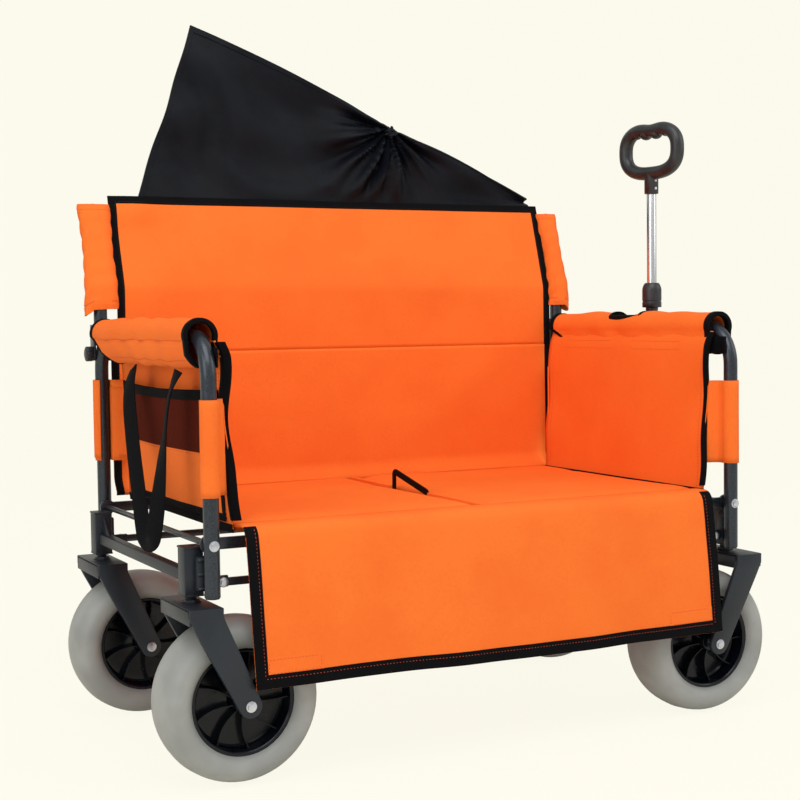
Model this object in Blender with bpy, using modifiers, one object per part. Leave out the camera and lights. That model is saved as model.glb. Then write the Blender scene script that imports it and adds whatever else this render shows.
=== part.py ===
"""Folding wagon used as a bench: two tubular ends on swivel casters, folding side links, a two-part
seat, cloth sides with a reclined back, a front flap, a black cover and a telescopic pull handle.

X runs along the bench, Y away from the sitter's knees to the back, Z up. Sizes are in metres.
"""
import math

import bmesh
import bpy
from mathutils import Matrix, Vector

GAP = 0.0003            # clearance between touching pieces

# Wheels and forks
WHEEL_R = 0.100
WHEEL_STEPS = 20
TYRE_W = 0.090
RIM_R = 0.0625          # where the tyre sits on the hub
HUB_W = 0.062
FLANGE_H = 0.0032       # the hub's edge that holds the tyre's bead
FLANGE_T = 0.0030
AXLE_R = 0.0040
AXLE_HEAD_R = 0.0052
AXLE_HEAD_H = 0.0030
TRAIL = 0.052           # stem axis to axle, towards the middle
LEG_OUT = 0.055         # outer face of a leg from the wheel's middle
LEG_T = 0.0040
LEG_END_R = 0.015
KNEE_RISE = 0.050        # the legs' bend, above the axle
PLATE_T = 0.0040
WHEEL_CLEAR = 0.0160     # from the tyre up to the fork's plate
PLATE_TOP = 2 * WHEEL_R + WHEEL_CLEAR + PLATE_T   # what stands above is measured from here
PLATE_L = 0.042
FORK_RIM = 0.015
FORK_RIM_T = 0.0030
STEM_R = 0.0070
STEM_NUT_R = 0.0100
PEDAL_W = 0.030
PEDAL_T = 0.0040
PEDAL_PIN_R = 0.0025
PEDAL_TURN = math.radians(-17)

# Tubular ends
POST_X = 0.380
POST_Y = 0.2225
POST_R = 0.0095
POST_BOTTOM = PLATE_TOP + 0.0090
ARM_Z = PLATE_TOP + 0.3150           # centre of the tube under the armrest
ARM_BEND_R = 0.0525
STEM_X = 0.395
STEM_Y = 0.190
SOCKET_W = 0.024
SOCKET_D = 0.025
SOCKET_BOTTOM = PLATE_TOP + 0.0080
SOCKET_TOP = PLATE_TOP + 0.0670
SOCKET_WALL_TOP = 0.0080
AXLE_TUBE = 0.014
AXLE_TUBE_Z = PLATE_TOP + 0.0300
WELD_LOW = PLATE_TOP + 0.0150
WELD_HIGH = PLATE_TOP + 0.0560
RAIL_R = 0.0038
BOLT_R = 0.0052
BOLT_H = 0.0030
PIN_R = 0.0030

# Folding links: two parallel bars a side, and a cross beam in the middle
PIVOT_Z = PLATE_TOP + 0.0700         # the rail is the upper bars' shaft
LOWER_X = 0.362
LOWER_Z = PLATE_TOP + 0.0240
CENTRE_X = 0.030        # upper pins, out from the middle
LINK_T = 0.0050
LINK_MID_Y = 0.2097
UPPER_BAR_H = 0.014
LOWER_BAR_H = 0.0095
RAIL_EYE_R = 0.0105
PIN_EYE_R = 0.0065
CENTRE_PLATE_T = 0.0030
CENTRE_PLATE_X = 0.040
CENTRE_PLATE_LOW = PLATE_TOP + 0.0120
CENTRE_PLATE_HIGH = PLATE_TOP + 0.0770
BEAM = 0.020
LUG_X = 0.354

# Seat
SEAT_TOP = PLATE_TOP + 0.0916
SEAT_T = 0.0133
SEAT_HALF_Y = 0.203
SEAT_END_X = 0.343
SEAT_SPLIT = 0.005      # half of the gap in the middle
SEAT_CROWN = 0.0025
STRAP_T = 0.0024
STRAP_BAND = 0.009
STRAP_FRONT = -0.046
STRAP_BACK = 0.065
STRAP_RISE_FRONT = 0.006
STRAP_RISE_BACK = 0.026

# Cloth
CLOTH = 0.0016
FLAP_X = 0.335
FLAP_TOP_Y = -0.2390
FLAP_HEM_Y = -0.2510
FLAP_HEM_Z = SEAT_TOP - 0.1936
FLAP_ROUND = 0.016
WALL_LOW_X = 0.3460
WALL_TOP_X = 0.3585
WALL_LOW_Z = PLATE_TOP + 0.0800
WALL_TOP_Z = ARM_Z - 0.0070
WALL_HALF_Y = 0.2045
ARM_PAD_R = 0.0185
ARM_SEAM_Z = ARM_Z - 0.0370
ARM_FRONT_Y = -0.197
ARM_BACK_TOP_Y = 0.206
ARM_BACK_LOW_Y = 0.125
NOTCH_FRONT = -0.030
NOTCH_BACK = 0.045
NOTCH_REACH = 0.012         # past the tube's middle, towards the seat
POCKET_LOW_Z = WALL_LOW_Z + 0.0120
POCKET_TOP_Z = ARM_Z - 0.0650
POCKET_HALF_Y = 0.190
POCKET_BULGE = 0.013
TAB_X = 0.3730          # the tab's bend, clear of the links when the frame folds
TAB_Y = 0.2058
TAB_LOW = WALL_LOW_Z + 0.0460
TAB_HIGH = ARM_Z - 0.0750
TAB_REAR_RISE = 0.010
LOOP_W = 0.025
LOOP_T = 0.0016
LOOP_LOW_Z = PLATE_TOP + 0.0420

# Back
HINGE_Z = ARM_Z - 0.0280
HINGE_CHEEK_T = 0.0030
HINGE_SOCKET_LOW = HINGE_Z + 0.0230
HINGE_SOCKET_HIGH = HINGE_Z + 0.0410
UPRIGHT_BEND_Z = HINGE_Z + 0.0930
UPRIGHT_BEND_R = 0.080
UPRIGHT_TOP_Z = HINGE_Z + 0.2090
RECLINE = math.radians(17)
KNOB_R = 0.0105
KNOB_T = 0.010
BACK_LEFT = -0.356
BACK_RIGHT = 0.366
BACK_LOW_Z = SEAT_TOP + 0.0014
BACK_TOP_Z = UPRIGHT_TOP_Z + 0.0165
BACK_LOW_Y = 0.2175
BACK_BELLY = 0.0035
SLEEVE_LOW = HINGE_Z + 0.0630
SLEEVE_HIGH = UPRIGHT_TOP_Z + 0.0040
SLEEVE_OUT_X = 0.4005
SLEEVE_SLACK = 0.0009
COVER_LEFT = -0.310
COVER_RIGHT = 0.352
COVER_PEAK = (-0.220, 0.275, BACK_TOP_Z + 0.2550)
COVER_KNOT = (0.104, 0.275, BACK_TOP_Z + 0.1165)
COVER_END_RISE = 0.010

# Handle
HANDLE_X = 0.410
HANDLE_PIVOT_X = 0.4225
HANDLE_PIVOT_Z = PLATE_TOP + 0.0420
HANDLE_TUBE_R = 0.0090
HANDLE_LUG_H = 0.030
HANDLE_TUBE_LOW = HANDLE_PIVOT_Z + 0.0160
HANDLE_TUBE_HIGH = ARM_Z + 0.0450
HANDLE_ROD_R = 0.0072
HANDLE_ROD_LOW = PLATE_TOP + 0.1750
COLLAR_LOW = HANDLE_TUBE_HIGH - 0.0170
COLLAR_HIGH = HANDLE_TUBE_HIGH + 0.0200
COLLAR_R = 0.0145
GRIP_Z = HANDLE_TUBE_HIGH + 0.2185
NECK_LOW = GRIP_Z - 0.0645
NECK_HIGH = GRIP_Z - 0.0415
NECK_R = 0.0105
GRIP_R = 0.0105
GRIP_HALF_W = 0.053
GRIP_HALF_H = 0.0335
GRIP_TURN = math.radians(11)
BRACKET_CHEEK_T = 0.0030
BRACKET_HALF_Y = 0.0140
BRACKET_LOW = HANDLE_PIVOT_Z - 0.0190
BRACKET_HIGH = HANDLE_PIVOT_Z + 0.0130
CLIP_HALF_Y = 0.017
CLIP_HALF_Z = 0.012
CLIP_OUT_X = 0.4035

for old in list(bpy.data.objects):
    bpy.data.objects.remove(old, do_unlink=True)

parts = bpy.data.collections.new("folding_wagon")
cutters = bpy.data.collections.new("cutters")
bpy.context.scene.collection.children.link(parts)
bpy.context.scene.collection.children.link(cutters)
pivots = {}


# Making and placing

def pivot(name, place, parent=None):
    """An empty on a joint's axis, which the moving pieces hang from."""
    empty = bpy.data.objects.new("pivot_" + name, None)
    empty.empty_display_size = 0.03
    parts.objects.link(empty)
    place = Vector(place)
    if parent:
        empty.parent = pivots[parent][0]
        empty.location = place - pivots[parent][1]
    else:
        empty.location = place
    pivots[name] = (empty, place)


def paint(name, colour, roughness, metallic=0.0):
    look = bpy.data.materials.new(name)
    look.use_nodes = True
    shader = look.node_tree.nodes["Principled BSDF"]
    shader.inputs["Base Color"].default_value = (*colour, 1.0)
    shader.inputs["Roughness"].default_value = roughness
    shader.inputs["Metallic"].default_value = metallic
    return look


LOOKS = {
    "hammered": ((0.075, 0.085, 0.10), 0.42, 0.7),
    "fork_grey": ((0.040, 0.047, 0.058), 0.38, 0.5),
    "orange_cloth": ((0.95, 0.16, 0.025), 0.75, 0.0),
    "black_webbing": ((0.010, 0.009, 0.012), 0.80, 0.0),
    "black_satin": ((0.010, 0.012, 0.018), 0.45, 0.0),
    "black_plastic": ((0.014, 0.015, 0.018), 0.45, 0.0),
    "gloss_black": ((0.010, 0.012, 0.016), 0.25, 0.0),
    "tyre_grey": ((0.31, 0.31, 0.27), 0.70, 0.0),
    "zinc": ((0.60, 0.62, 0.66), 0.32, 1.0),
    "steel": ((0.30, 0.33, 0.37), 0.28, 1.0),
    "mesh_cloth": ((0.12, 0.012, 0.006), 0.85, 0.0),
}


def finish(obj, name, body, look):
    """Names a piece, gives it its own material and hangs it from its body's empty."""
    obj.name = name
    obj.data.name = name
    obj.data.materials.clear()
    obj.data.materials.append(paint(name, *LOOKS[look]))
    for home in list(obj.users_collection):
        home.objects.unlink(obj)
    parts.objects.link(obj)
    empty, place = pivots[body]
    obj.parent = empty
    obj.location = obj.location - place
    return obj


def block(size, centre):
    bpy.ops.mesh.primitive_cube_add(size=1.0, location=centre)
    obj = bpy.context.object
    obj.data.transform(Matrix.Diagonal((*size, 1.0)))
    return obj


def rod(radius, start, end, sides=16):
    """A cylinder between two points."""
    start, end = Vector(start), Vector(end)
    run = end - start
    bpy.ops.mesh.primitive_cylinder_add(vertices=sides, radius=radius, depth=run.length,
                                        location=(start + end) / 2)
    obj = bpy.context.object
    obj.data.transform(run.to_track_quat("Z", "Y").to_matrix().to_4x4())
    return obj


def turned(profile, centre, steps=24):
    """A profile of (radius, along) points turned about an axis that lies along Y."""
    mesh = bpy.data.meshes.new("turned")
    points = [(radius, 0.0, along) for radius, along in profile]
    mesh.from_pydata(points, [(i, i + 1) for i in range(len(points) - 1)], [])
    obj = bpy.data.objects.new("turned", mesh)
    bpy.context.scene.collection.objects.link(obj)
    screw = obj.modifiers.new("turn", "SCREW")
    screw.axis = "Z"
    screw.steps = steps
    screw.render_steps = steps
    screw.use_merge_vertices = True
    screw.merge_threshold = 0.00005
    solid = evaluated(obj)
    solid.data.transform(Matrix.Rotation(math.radians(-90), 4, "X"))
    solid.location = centre
    return solid


def filleted(corners, radius, steps=5):
    """The corners' route with each inner corner rounded by an arc."""
    corners = [Vector(c) for c in corners]
    route = [corners[0]]
    for before, corner, after in zip(corners, corners[1:], corners[2:]):
        into = (before - corner).normalized()
        out = (after - corner).normalized()
        half = into.angle(out) / 2
        centre = corner + (into + out).normalized() * radius / math.sin(half)
        first = corner + into * radius / math.tan(half) - centre
        last = corner + out * radius / math.tan(half) - centre
        for i in range(steps + 1):
            route.append(centre + arc_point(first, last, i / steps))
    route.append(corners[-1])
    return route


def arc_point(first, last, share):
    whole = first.angle(last)
    return (first * math.sin((1 - share) * whole) + last * math.sin(share * whole)) / math.sin(whole)


def pipe(route, radius, closed=False):
    """A round tube along a route, made a mesh with its caps welded."""
    data = bpy.data.curves.new("pipe", "CURVE")
    data.dimensions = "3D"
    data.bevel_depth = radius
    data.bevel_resolution = 2
    data.use_fill_caps = not closed
    spline = data.splines.new("POLY")
    spline.points.add(len(route) - 1)
    for point, place in zip(spline.points, route):
        point.co = (*place, 1.0)
    spline.use_cyclic_u = closed
    obj = bpy.data.objects.new("pipe", data)
    bpy.context.scene.collection.objects.link(obj)
    return evaluated(obj)


def slab(outlines, thickness, frame):
    """A flat plate with holes: closed outlines in its own plane, put in place by a matrix."""
    data = bpy.data.curves.new("slab", "CURVE")
    data.dimensions = "2D"
    data.fill_mode = "BOTH"
    data.extrude = thickness / 2
    for outline in outlines:
        spline = data.splines.new("POLY")
        spline.points.add(len(outline) - 1)
        for point, (x, y) in zip(spline.points, outline):
            point.co = (x, y, 0.0, 1.0)
        spline.use_cyclic_u = True
    obj = bpy.data.objects.new("slab", data)
    bpy.context.scene.collection.objects.link(obj)
    solid = evaluated(obj)
    solid.data.transform(frame)
    return solid


def surface(place, u_steps, v_steps, thickness=CLOTH, wrap=False):
    """A sheet whose point at (u, v), each from 0 to 1, is place(u, v), with a cloth's thickness."""
    columns = u_steps if wrap else u_steps + 1
    points = [place(i / u_steps, j / v_steps) for j in range(v_steps + 1) for i in range(columns)]
    faces = [(j * columns + i, j * columns + (i + 1) % columns,
              (j + 1) * columns + (i + 1) % columns, (j + 1) * columns + i)
             for j in range(v_steps) for i in range(u_steps)]
    mesh = bpy.data.meshes.new("sheet")
    mesh.from_pydata(points, [], faces)
    obj = bpy.data.objects.new("sheet", mesh)
    bpy.context.scene.collection.objects.link(obj)
    wall = obj.modifiers.new("cloth", "SOLIDIFY")
    wall.thickness = thickness
    wall.offset = 0.0
    return obj


def evaluated(obj):
    """The object's finished mesh as a plain mesh object, with loose caps welded."""
    bpy.context.view_layer.update()
    graph = bpy.context.evaluated_depsgraph_get()
    mesh = bpy.data.meshes.new_from_object(obj.evaluated_get(graph))
    shape = bmesh.new()
    shape.from_mesh(mesh)
    bmesh.ops.remove_doubles(shape, verts=shape.verts, dist=0.00002)
    shape.to_mesh(mesh)
    shape.free()
    solid = bpy.data.objects.new(obj.name, mesh)
    solid.matrix_world = obj.matrix_world
    bpy.context.scene.collection.objects.link(solid)
    bpy.data.objects.remove(obj, do_unlink=True)
    return solid


def boolean(obj, other, how):
    step = obj.modifiers.new(how.lower(), "BOOLEAN")
    step.operation = how
    step.solver = "EXACT"
    step.object = other


def fused(pieces):
    """One solid from overlapping pieces, as a weld or a moulding makes it."""
    first = pieces[0]
    for other in pieces[1:]:
        boolean(first, other, "UNION")
    solid = evaluated(first)
    for other in pieces[1:]:
        bpy.data.objects.remove(other, do_unlink=True)
    return solid


def cut(obj, cutter, name):
    """Cuts a shape away with a guide that stays in the cutters' collection."""
    cutter.name = "cutter_" + name
    for home in list(cutter.users_collection):
        home.objects.unlink(cutter)
    cutters.objects.link(cutter)
    cutter.hide_render = True
    cutter.display_type = "WIRE"
    cutter.parent = pivots["left_end"][0]
    boolean(obj, cutter, "DIFFERENCE")
    return obj


def rounded(obj, width, segments=1):
    bevel = obj.modifiers.new("edges", "BEVEL")
    bevel.width = width
    bevel.segments = segments
    bevel.limit_method = "ANGLE"
    return obj


def smooth(obj, degrees=40):
    obj.data.shade_smooth()
    obj.data.set_sharp_from_angle(angle=math.radians(degrees))
    return obj


def ring_points(centre, radius, count=12, start=0.0, sweep=2 * math.pi, ends=False):
    steps = count - 1 if ends else count
    return [(centre[0] + radius * math.cos(start + sweep * i / steps),
             centre[1] + radius * math.sin(start + sweep * i / steps)) for i in range(count)]


# A plate drawn with its own X along the world's X and its own Y along the world's Z
def upright_plane(y):
    return Matrix.Translation((0, y, 0)) @ Matrix.Rotation(math.radians(90), 4, "X")


ENDS = (("left", -1), ("right", 1))
SIDES = (("front", -1), ("rear", 1))

# Bodies that move, each with its empty on its joint's axis
SWIVELS = [(end, x, side, y) for end, x in ENDS for side, y in SIDES]
pivot("left_end", (0, 0, 0))
pivot("left_upper_links", (-POST_X, 0, PIVOT_Z), "left_end")
pivot("left_lower_links", (-LOWER_X, 0, LOWER_Z), "left_end")
pivot("centre", (-CENTRE_X, 0, PIVOT_Z), "left_upper_links")
pivot("right_upper_links", (CENTRE_X, 0, PIVOT_Z), "centre")
pivot("right_lower_links", (CENTRE_X - POST_X + LOWER_X, 0, LOWER_Z), "centre")
pivot("right_end", (POST_X, 0, PIVOT_Z), "right_upper_links")
for end, x in ENDS:
    pivot(end + "_seat", (x * SEAT_END_X, 0, SEAT_TOP), end + "_end")
    pivot(end + "_upright", (x * POST_X, POST_Y, HINGE_Z), end + "_end")
pivot("front_flap", (0, -SEAT_HALF_Y - GAP, SEAT_TOP), "centre")
pivot("handle", (HANDLE_PIVOT_X, 0, HANDLE_PIVOT_Z), "right_end")
pivot("handle_rod", (HANDLE_X, 0, HANDLE_ROD_LOW), "handle")
for end, x, side, y in SWIVELS:
    pivot(f"{end}_{side}_caster", (x * STEM_X, y * STEM_Y, PLATE_TOP), end + "_end")
    pivot(f"{end}_{side}_wheel", (x * (STEM_X - TRAIL), y * STEM_Y, WHEEL_R), f"{end}_{side}_caster")
PEDAL_AT = (STEM_X + 0.010, PLATE_TOP - PLATE_T - FORK_RIM)
for side, y in SIDES:
    pivot(f"right_{side}_brake", (PEDAL_AT[0], y * STEM_Y, PEDAL_AT[1]), f"right_{side}_caster")


# Wheels: a balloon tyre on a dished hub with curved vanes

def tyre(centre):
    shoulder = TYRE_W / 2
    flat = math.radians(15)
    crown = [(WHEEL_R - (shoulder * (math.cos(flat) - math.cos(a))) * 0.72, shoulder * math.sin(a))
             for a in (math.radians(62), math.radians(42), flat, -flat, math.radians(-42), math.radians(-62))]
    inner, lip = RIM_R + GAP, RIM_R + FLANGE_H + 2 * GAP
    seat = HUB_W / 2 - FLANGE_T - 0.0025
    bead = [(inner, seat), (lip, seat + 0.0017), (lip + 0.0006, 0.034)]
    profile = bead + crown + [(r, -along) for r, along in reversed(bead)]
    return turned(profile + [profile[0]], centre, WHEEL_STEPS)


def hub(centre):
    bore = AXLE_R + GAP
    half = HUB_W / 2
    wall = 0.0035
    side = [(bore, 0.034), (0.013, 0.034), (0.015, 0.012), (RIM_R - wall, 0.007), (RIM_R - wall, half),
            (RIM_R + FLANGE_H, half), (RIM_R + FLANGE_H, half - FLANGE_T), (RIM_R, half - FLANGE_T - 0.0015)]
    mirrored = [(r, -a) for r, a in reversed(side)]
    return turned(side + mirrored + [side[0]], centre, WHEEL_STEPS)


def vane(centre, turn, face):
    """One curved vane on the dish, standing between the boss and the rim."""
    low, high = 0.0125, RIM_R - 0.0020
    bow = 0.007
    spine = [(low + (high - low) * s, bow * math.sin(math.pi * s)) for s in (0, 0.5, 1.0)]
    outline = [(r, b + 0.0011) for r, b in spine] + [(r, b - 0.0011) for r, b in reversed(spine)]
    place = (Matrix.Translation(Vector(centre) + Vector((0, face * 0.0145, 0)))
             @ Matrix.Rotation(turn, 4, "Y") @ Matrix.Rotation(math.radians(90), 4, "X"))
    return slab([outline], 0.017, place)


VANES = 9
for end, x, side, y in SWIVELS:
    corner = f"{end}_{side}"
    centre = (x * (STEM_X - TRAIL), y * STEM_Y, WHEEL_R)
    smooth(finish(tyre(centre), corner + "_tyre", corner + "_wheel", "tyre_grey"), 60)
    blades = [vane(centre, 2 * math.pi * i / VANES, y) for i in range(VANES)]
    finish(fused([hub(centre)] + blades), corner + "_hub", corner + "_wheel", "gloss_black")


# Forks: a folded plate with two slanting legs, the stem and its nut, and the axle bolt apart

def fork(x, y):
    stem_x, stem_y = x * STEM_X, y * STEM_Y
    axle_x = x * (STEM_X - TRAIL)
    plate_low = PLATE_TOP - PLATE_T
    half = PLATE_L / 2
    plate = block((PLATE_L, 2 * LEG_OUT - 0.001, PLATE_T), (stem_x, stem_y, PLATE_TOP - PLATE_T / 2))
    rims = [block((FORK_RIM_T, 2 * LEG_OUT - LEG_T, FORK_RIM + 0.001),
                  (stem_x + s * (half - FORK_RIM_T / 2), stem_y, plate_low - FORK_RIM / 2 + 0.0005))
            for s in (-1, 1)]
    knee_z = WHEEL_R + KNEE_RISE
    knee_x = axle_x + x * 0.010
    boss = ring_points((axle_x, WHEEL_R), LEG_END_R, 9, math.radians(190), math.radians(160), ends=True)
    waist = LEG_END_R * 0.95
    outline = boss + [(knee_x + waist, knee_z), (stem_x + half, plate_low - FORK_RIM), (stem_x + half, PLATE_TOP),
                      (stem_x - half, PLATE_TOP), (stem_x - half, plate_low - FORK_RIM), (knee_x - waist, knee_z)]
    hole = ring_points((axle_x, WHEEL_R), AXLE_R + GAP, 10)
    legs = [slab([outline, hole], LEG_T, upright_plane(stem_y + s * (LEG_OUT - LEG_T / 2))) for s in (-1, 1)]
    nut = rod(STEM_NUT_R, (stem_x, stem_y, PLATE_TOP - 0.001), (stem_x, stem_y, SOCKET_BOTTOM - GAP), 12)
    stem = rod(STEM_R, (stem_x, stem_y, PLATE_TOP - 0.001),
               (stem_x, stem_y, SOCKET_TOP - SOCKET_WALL_TOP - 2 * GAP), 12)
    return fused([plate] + rims + legs + [nut, stem])


def axle_bolt(x, y):
    axle_x, stem_y = x * (STEM_X - TRAIL), y * STEM_Y
    reach = LEG_OUT + 2 * GAP
    pieces = [rod(AXLE_R, (axle_x, stem_y - reach, WHEEL_R), (axle_x, stem_y + reach, WHEEL_R), 10)]
    for s in (-1, 1):
        pieces.append(rod(AXLE_HEAD_R, (axle_x, stem_y + s * (LEG_OUT + GAP), WHEEL_R),
                          (axle_x, stem_y + s * (LEG_OUT + GAP + AXLE_HEAD_H), WHEEL_R), 12))
    return fused(pieces)


for end, x, side, y in SWIVELS:
    corner = f"{end}_{side}"
    finish(fork(x, y), corner + "_fork", corner + "_caster", "fork_grey")
    finish(axle_bolt(x, y), corner + "_axle_bolt", corner + "_caster", "zinc")

for side, y in SIDES:
    stem_y = y * STEM_Y
    pad = block((0.040, PEDAL_W, PEDAL_T), (0, 0, 0))
    pad.data.transform(Matrix.Rotation(-PEDAL_TURN, 4, "Y"))
    pad.location = (PEDAL_AT[0] + 0.014, stem_y, PEDAL_AT[1] - 0.0055)
    pin_half = LEG_OUT - LEG_T - GAP
    pin = rod(PEDAL_PIN_R, (PEDAL_AT[0], stem_y - pin_half, PEDAL_AT[1]),
              (PEDAL_AT[0], stem_y + pin_half, PEDAL_AT[1]), 10)
    finish(fused([pad, pin]), f"right_{side}_brake_pedal", f"right_{side}_brake", "black_plastic")


# Ends: a bent tube, a rail that is also the links' shaft, and a welded axle frame with two sockets

def bolt_head(place, towards, reach=BOLT_H):
    """A round head that stands off a face towards +Y or -Y."""
    px, py, pz = place
    return rod(BOLT_R, (px, py, pz), (px, py + towards * reach, pz), 10)


def pin_with_head(px, pz, y, inner):
    """A riveted pin through a bar, with its head on the bar's outer face."""
    face = LINK_MID_Y + LINK_T / 2 + GAP
    return [rod(PIN_R, (px, y * inner, pz), (px, y * (face + 0.001), pz), 10),
            bolt_head((px, y * face, pz), y, 0.0025)]


def end_tube(x):
    """The bent tube, with the two bolt heads that hold the end rail."""
    corners = [(x * POST_X, -POST_Y, POST_BOTTOM), (x * POST_X, -POST_Y, ARM_Z),
               (x * POST_X, POST_Y, ARM_Z), (x * POST_X, POST_Y, POST_BOTTOM)]
    heads = [bolt_head((x * POST_X, y * (POST_Y + POST_R - 0.003), PIVOT_Z), y, BOLT_H + 0.003) for y in (-1, 1)]
    return fused([pipe(filleted(corners, ARM_BEND_R), POST_R)] + heads)


def axle_frame(x):
    weld_y = POST_Y - POST_R - GAP
    pieces = [block((AXLE_TUBE, 2 * STEM_Y - SOCKET_D + 0.004, AXLE_TUBE), (x * STEM_X, 0, AXLE_TUBE_Z))]
    for y in (-1, 1):
        socket = block((SOCKET_W, SOCKET_D, SOCKET_TOP - SOCKET_BOTTOM),
                       (x * STEM_X, y * STEM_Y, (SOCKET_TOP + SOCKET_BOTTOM) / 2))
        pieces.append(socket)
        inner, outer = STEM_Y + SOCKET_D / 2 - 0.002, weld_y
        pieces.append(block((0.022, outer - inner, WELD_HIGH - WELD_LOW),
                            (x * (POST_X + 0.004), y * (inner + outer) / 2, (WELD_LOW + WELD_HIGH) / 2)))
        lug_in, lug_out = inner + 0.001, LINK_MID_Y - LINK_T / 2 - GAP
        pieces.append(block((POST_X - LUG_X, lug_out - lug_in, LOWER_BAR_H + 0.004),
                            (x * (POST_X + LUG_X) / 2, y * (lug_in + lug_out) / 2, LOWER_Z)))
        pieces += pin_with_head(x * LOWER_X, LOWER_Z, y, lug_out - 0.002)
    frame = fused(pieces)
    for y in (-1, 1):
        bore = rod(STEM_R + GAP, (x * STEM_X, y * STEM_Y, SOCKET_BOTTOM - 0.01),
                   (x * STEM_X, y * STEM_Y, SOCKET_TOP - SOCKET_WALL_TOP), 12)
        cut(frame, bore, f"socket_bore_{x}_{y}")
    return frame


for end, x in ENDS:
    smooth(finish(end_tube(x), end + "_end_tube", end + "_end", "hammered"))
    rail_y = POST_Y - POST_R - GAP
    smooth(finish(rod(RAIL_R, (x * POST_X, -rail_y, PIVOT_Z), (x * POST_X, rail_y, PIVOT_Z), 16),
                  end + "_end_rail", end + "_end", "hammered"))
    finish(axle_frame(x), end + "_axle_frame", end + "_end", "fork_grey")


# Folding links and the centre

def link(start_x, end_x, z, height, y, start_eye, start_hole, end_eye, end_hole):
    """A flat bar with a round eye and a hole at each end."""
    out = 1 if end_x > start_x else -1
    low = math.asin(height / 2 / start_eye)
    high = math.asin(min(1.0, height / 2 / end_eye))
    first = ring_points((start_x, z), start_eye, 13, (0 if out > 0 else math.pi) + low,
                        2 * math.pi - 2 * low, ends=True)
    second = ring_points((end_x, z), end_eye, 9, (math.pi if out > 0 else 0) + high,
                         2 * math.pi - 2 * high, ends=True)
    holes = [ring_points((start_x, z), start_hole, 14), ring_points((end_x, z), end_hole, 10)]
    return slab([first + second] + holes, LINK_T, upright_plane(y * LINK_MID_Y))


LOWER_CENTRE_X = CENTRE_X - POST_X + LOWER_X
for end, x in ENDS:
    for side, y in SIDES:
        upper = link(x * POST_X, x * CENTRE_X, PIVOT_Z, UPPER_BAR_H, y, RAIL_EYE_R, RAIL_R + GAP,
                     UPPER_BAR_H / 2 + 0.0003, PIN_R + GAP)
        finish(upper, f"{end}_{side}_upper_link", end + "_upper_links", "fork_grey")
        lower = link(x * LOWER_X, x * LOWER_CENTRE_X, LOWER_Z, LOWER_BAR_H, y, PIN_EYE_R, PIN_R + GAP,
                     PIN_EYE_R, PIN_R + GAP)
        finish(lower, f"{end}_{side}_lower_link", end + "_lower_links", "fork_grey")

plate_y = LINK_MID_Y - LINK_T / 2 - GAP - CENTRE_PLATE_T / 2
beam_top = SEAT_TOP - SEAT_T - GAP
bridge = [block((BEAM, 2 * plate_y, BEAM), (0, 0, beam_top - BEAM / 2))]
for side, y in SIDES:
    bridge.append(block((2 * CENTRE_PLATE_X, CENTRE_PLATE_T, CENTRE_PLATE_HIGH - CENTRE_PLATE_LOW),
                        (0, y * plate_y, (CENTRE_PLATE_HIGH + CENTRE_PLATE_LOW) / 2)))
    for end, x in ENDS:
        bridge += pin_with_head(x * CENTRE_X, PIVOT_Z, y, plate_y)
        bridge += pin_with_head(x * LOWER_CENTRE_X, LOWER_Z, y, plate_y)
finish(fused(bridge), "centre_bridge", "centre", "fork_grey")


# Seat: two padded boards that meet in the middle, and the pull strap between them

def seat_pad(x):
    length = SEAT_END_X - SEAT_SPLIT
    middle = x * (SEAT_END_X + SEAT_SPLIT) / 2

    def top(u, v):
        across, along = 2 * u - 1, 2 * v - 1
        crown = SEAT_CROWN * (1 - across ** 4) * (1 - along ** 4)
        return (middle + across * length / 2, along * SEAT_HALF_Y, SEAT_TOP + crown)
    pad = surface(top, 8, 10, SEAT_T)
    pad.modifiers["cloth"].offset = -1.0
    base = block((0.5, 0.5, 0.05), (0, 0, SEAT_TOP - SEAT_T - 0.025))
    return cut(evaluated(pad), base, "seat_underside_" + ("left" if x < 0 else "right"))


for end, x in ENDS:
    finish(seat_pad(x), end + "_seat_board", end + "_seat", "orange_cloth")


def strap_outline():
    """The pull strap's arch, front and back legs down through the gap between the boards."""
    foot = beam_top + GAP
    front_top, back_top = SEAT_TOP + STRAP_RISE_FRONT, SEAT_TOP + STRAP_RISE_BACK
    outer = [(STRAP_FRONT, foot), (STRAP_FRONT, front_top - 0.004), (STRAP_FRONT + 0.006, front_top),
             (STRAP_BACK - 0.008, back_top), (STRAP_BACK, back_top - 0.006), (STRAP_BACK, foot)]
    band = STRAP_BAND
    inner = [(STRAP_BACK - band, foot), (STRAP_BACK - band, back_top - band - 0.003),
             (STRAP_FRONT + band + 0.004, front_top - band * 0.8), (STRAP_FRONT + band, front_top - band - 0.002),
             (STRAP_FRONT + band, foot)]
    return outer + inner


across_plane = Matrix(((0, 0, 1, 0), (1, 0, 0, 0), (0, 1, 0, 0), (0, 0, 0, 1)))
finish(slab([strap_outline()], STRAP_T, across_plane), "seat_pull_strap", "centre", "black_webbing")


# Front flap: from the boards' front edge, over the side bars and down

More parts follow.
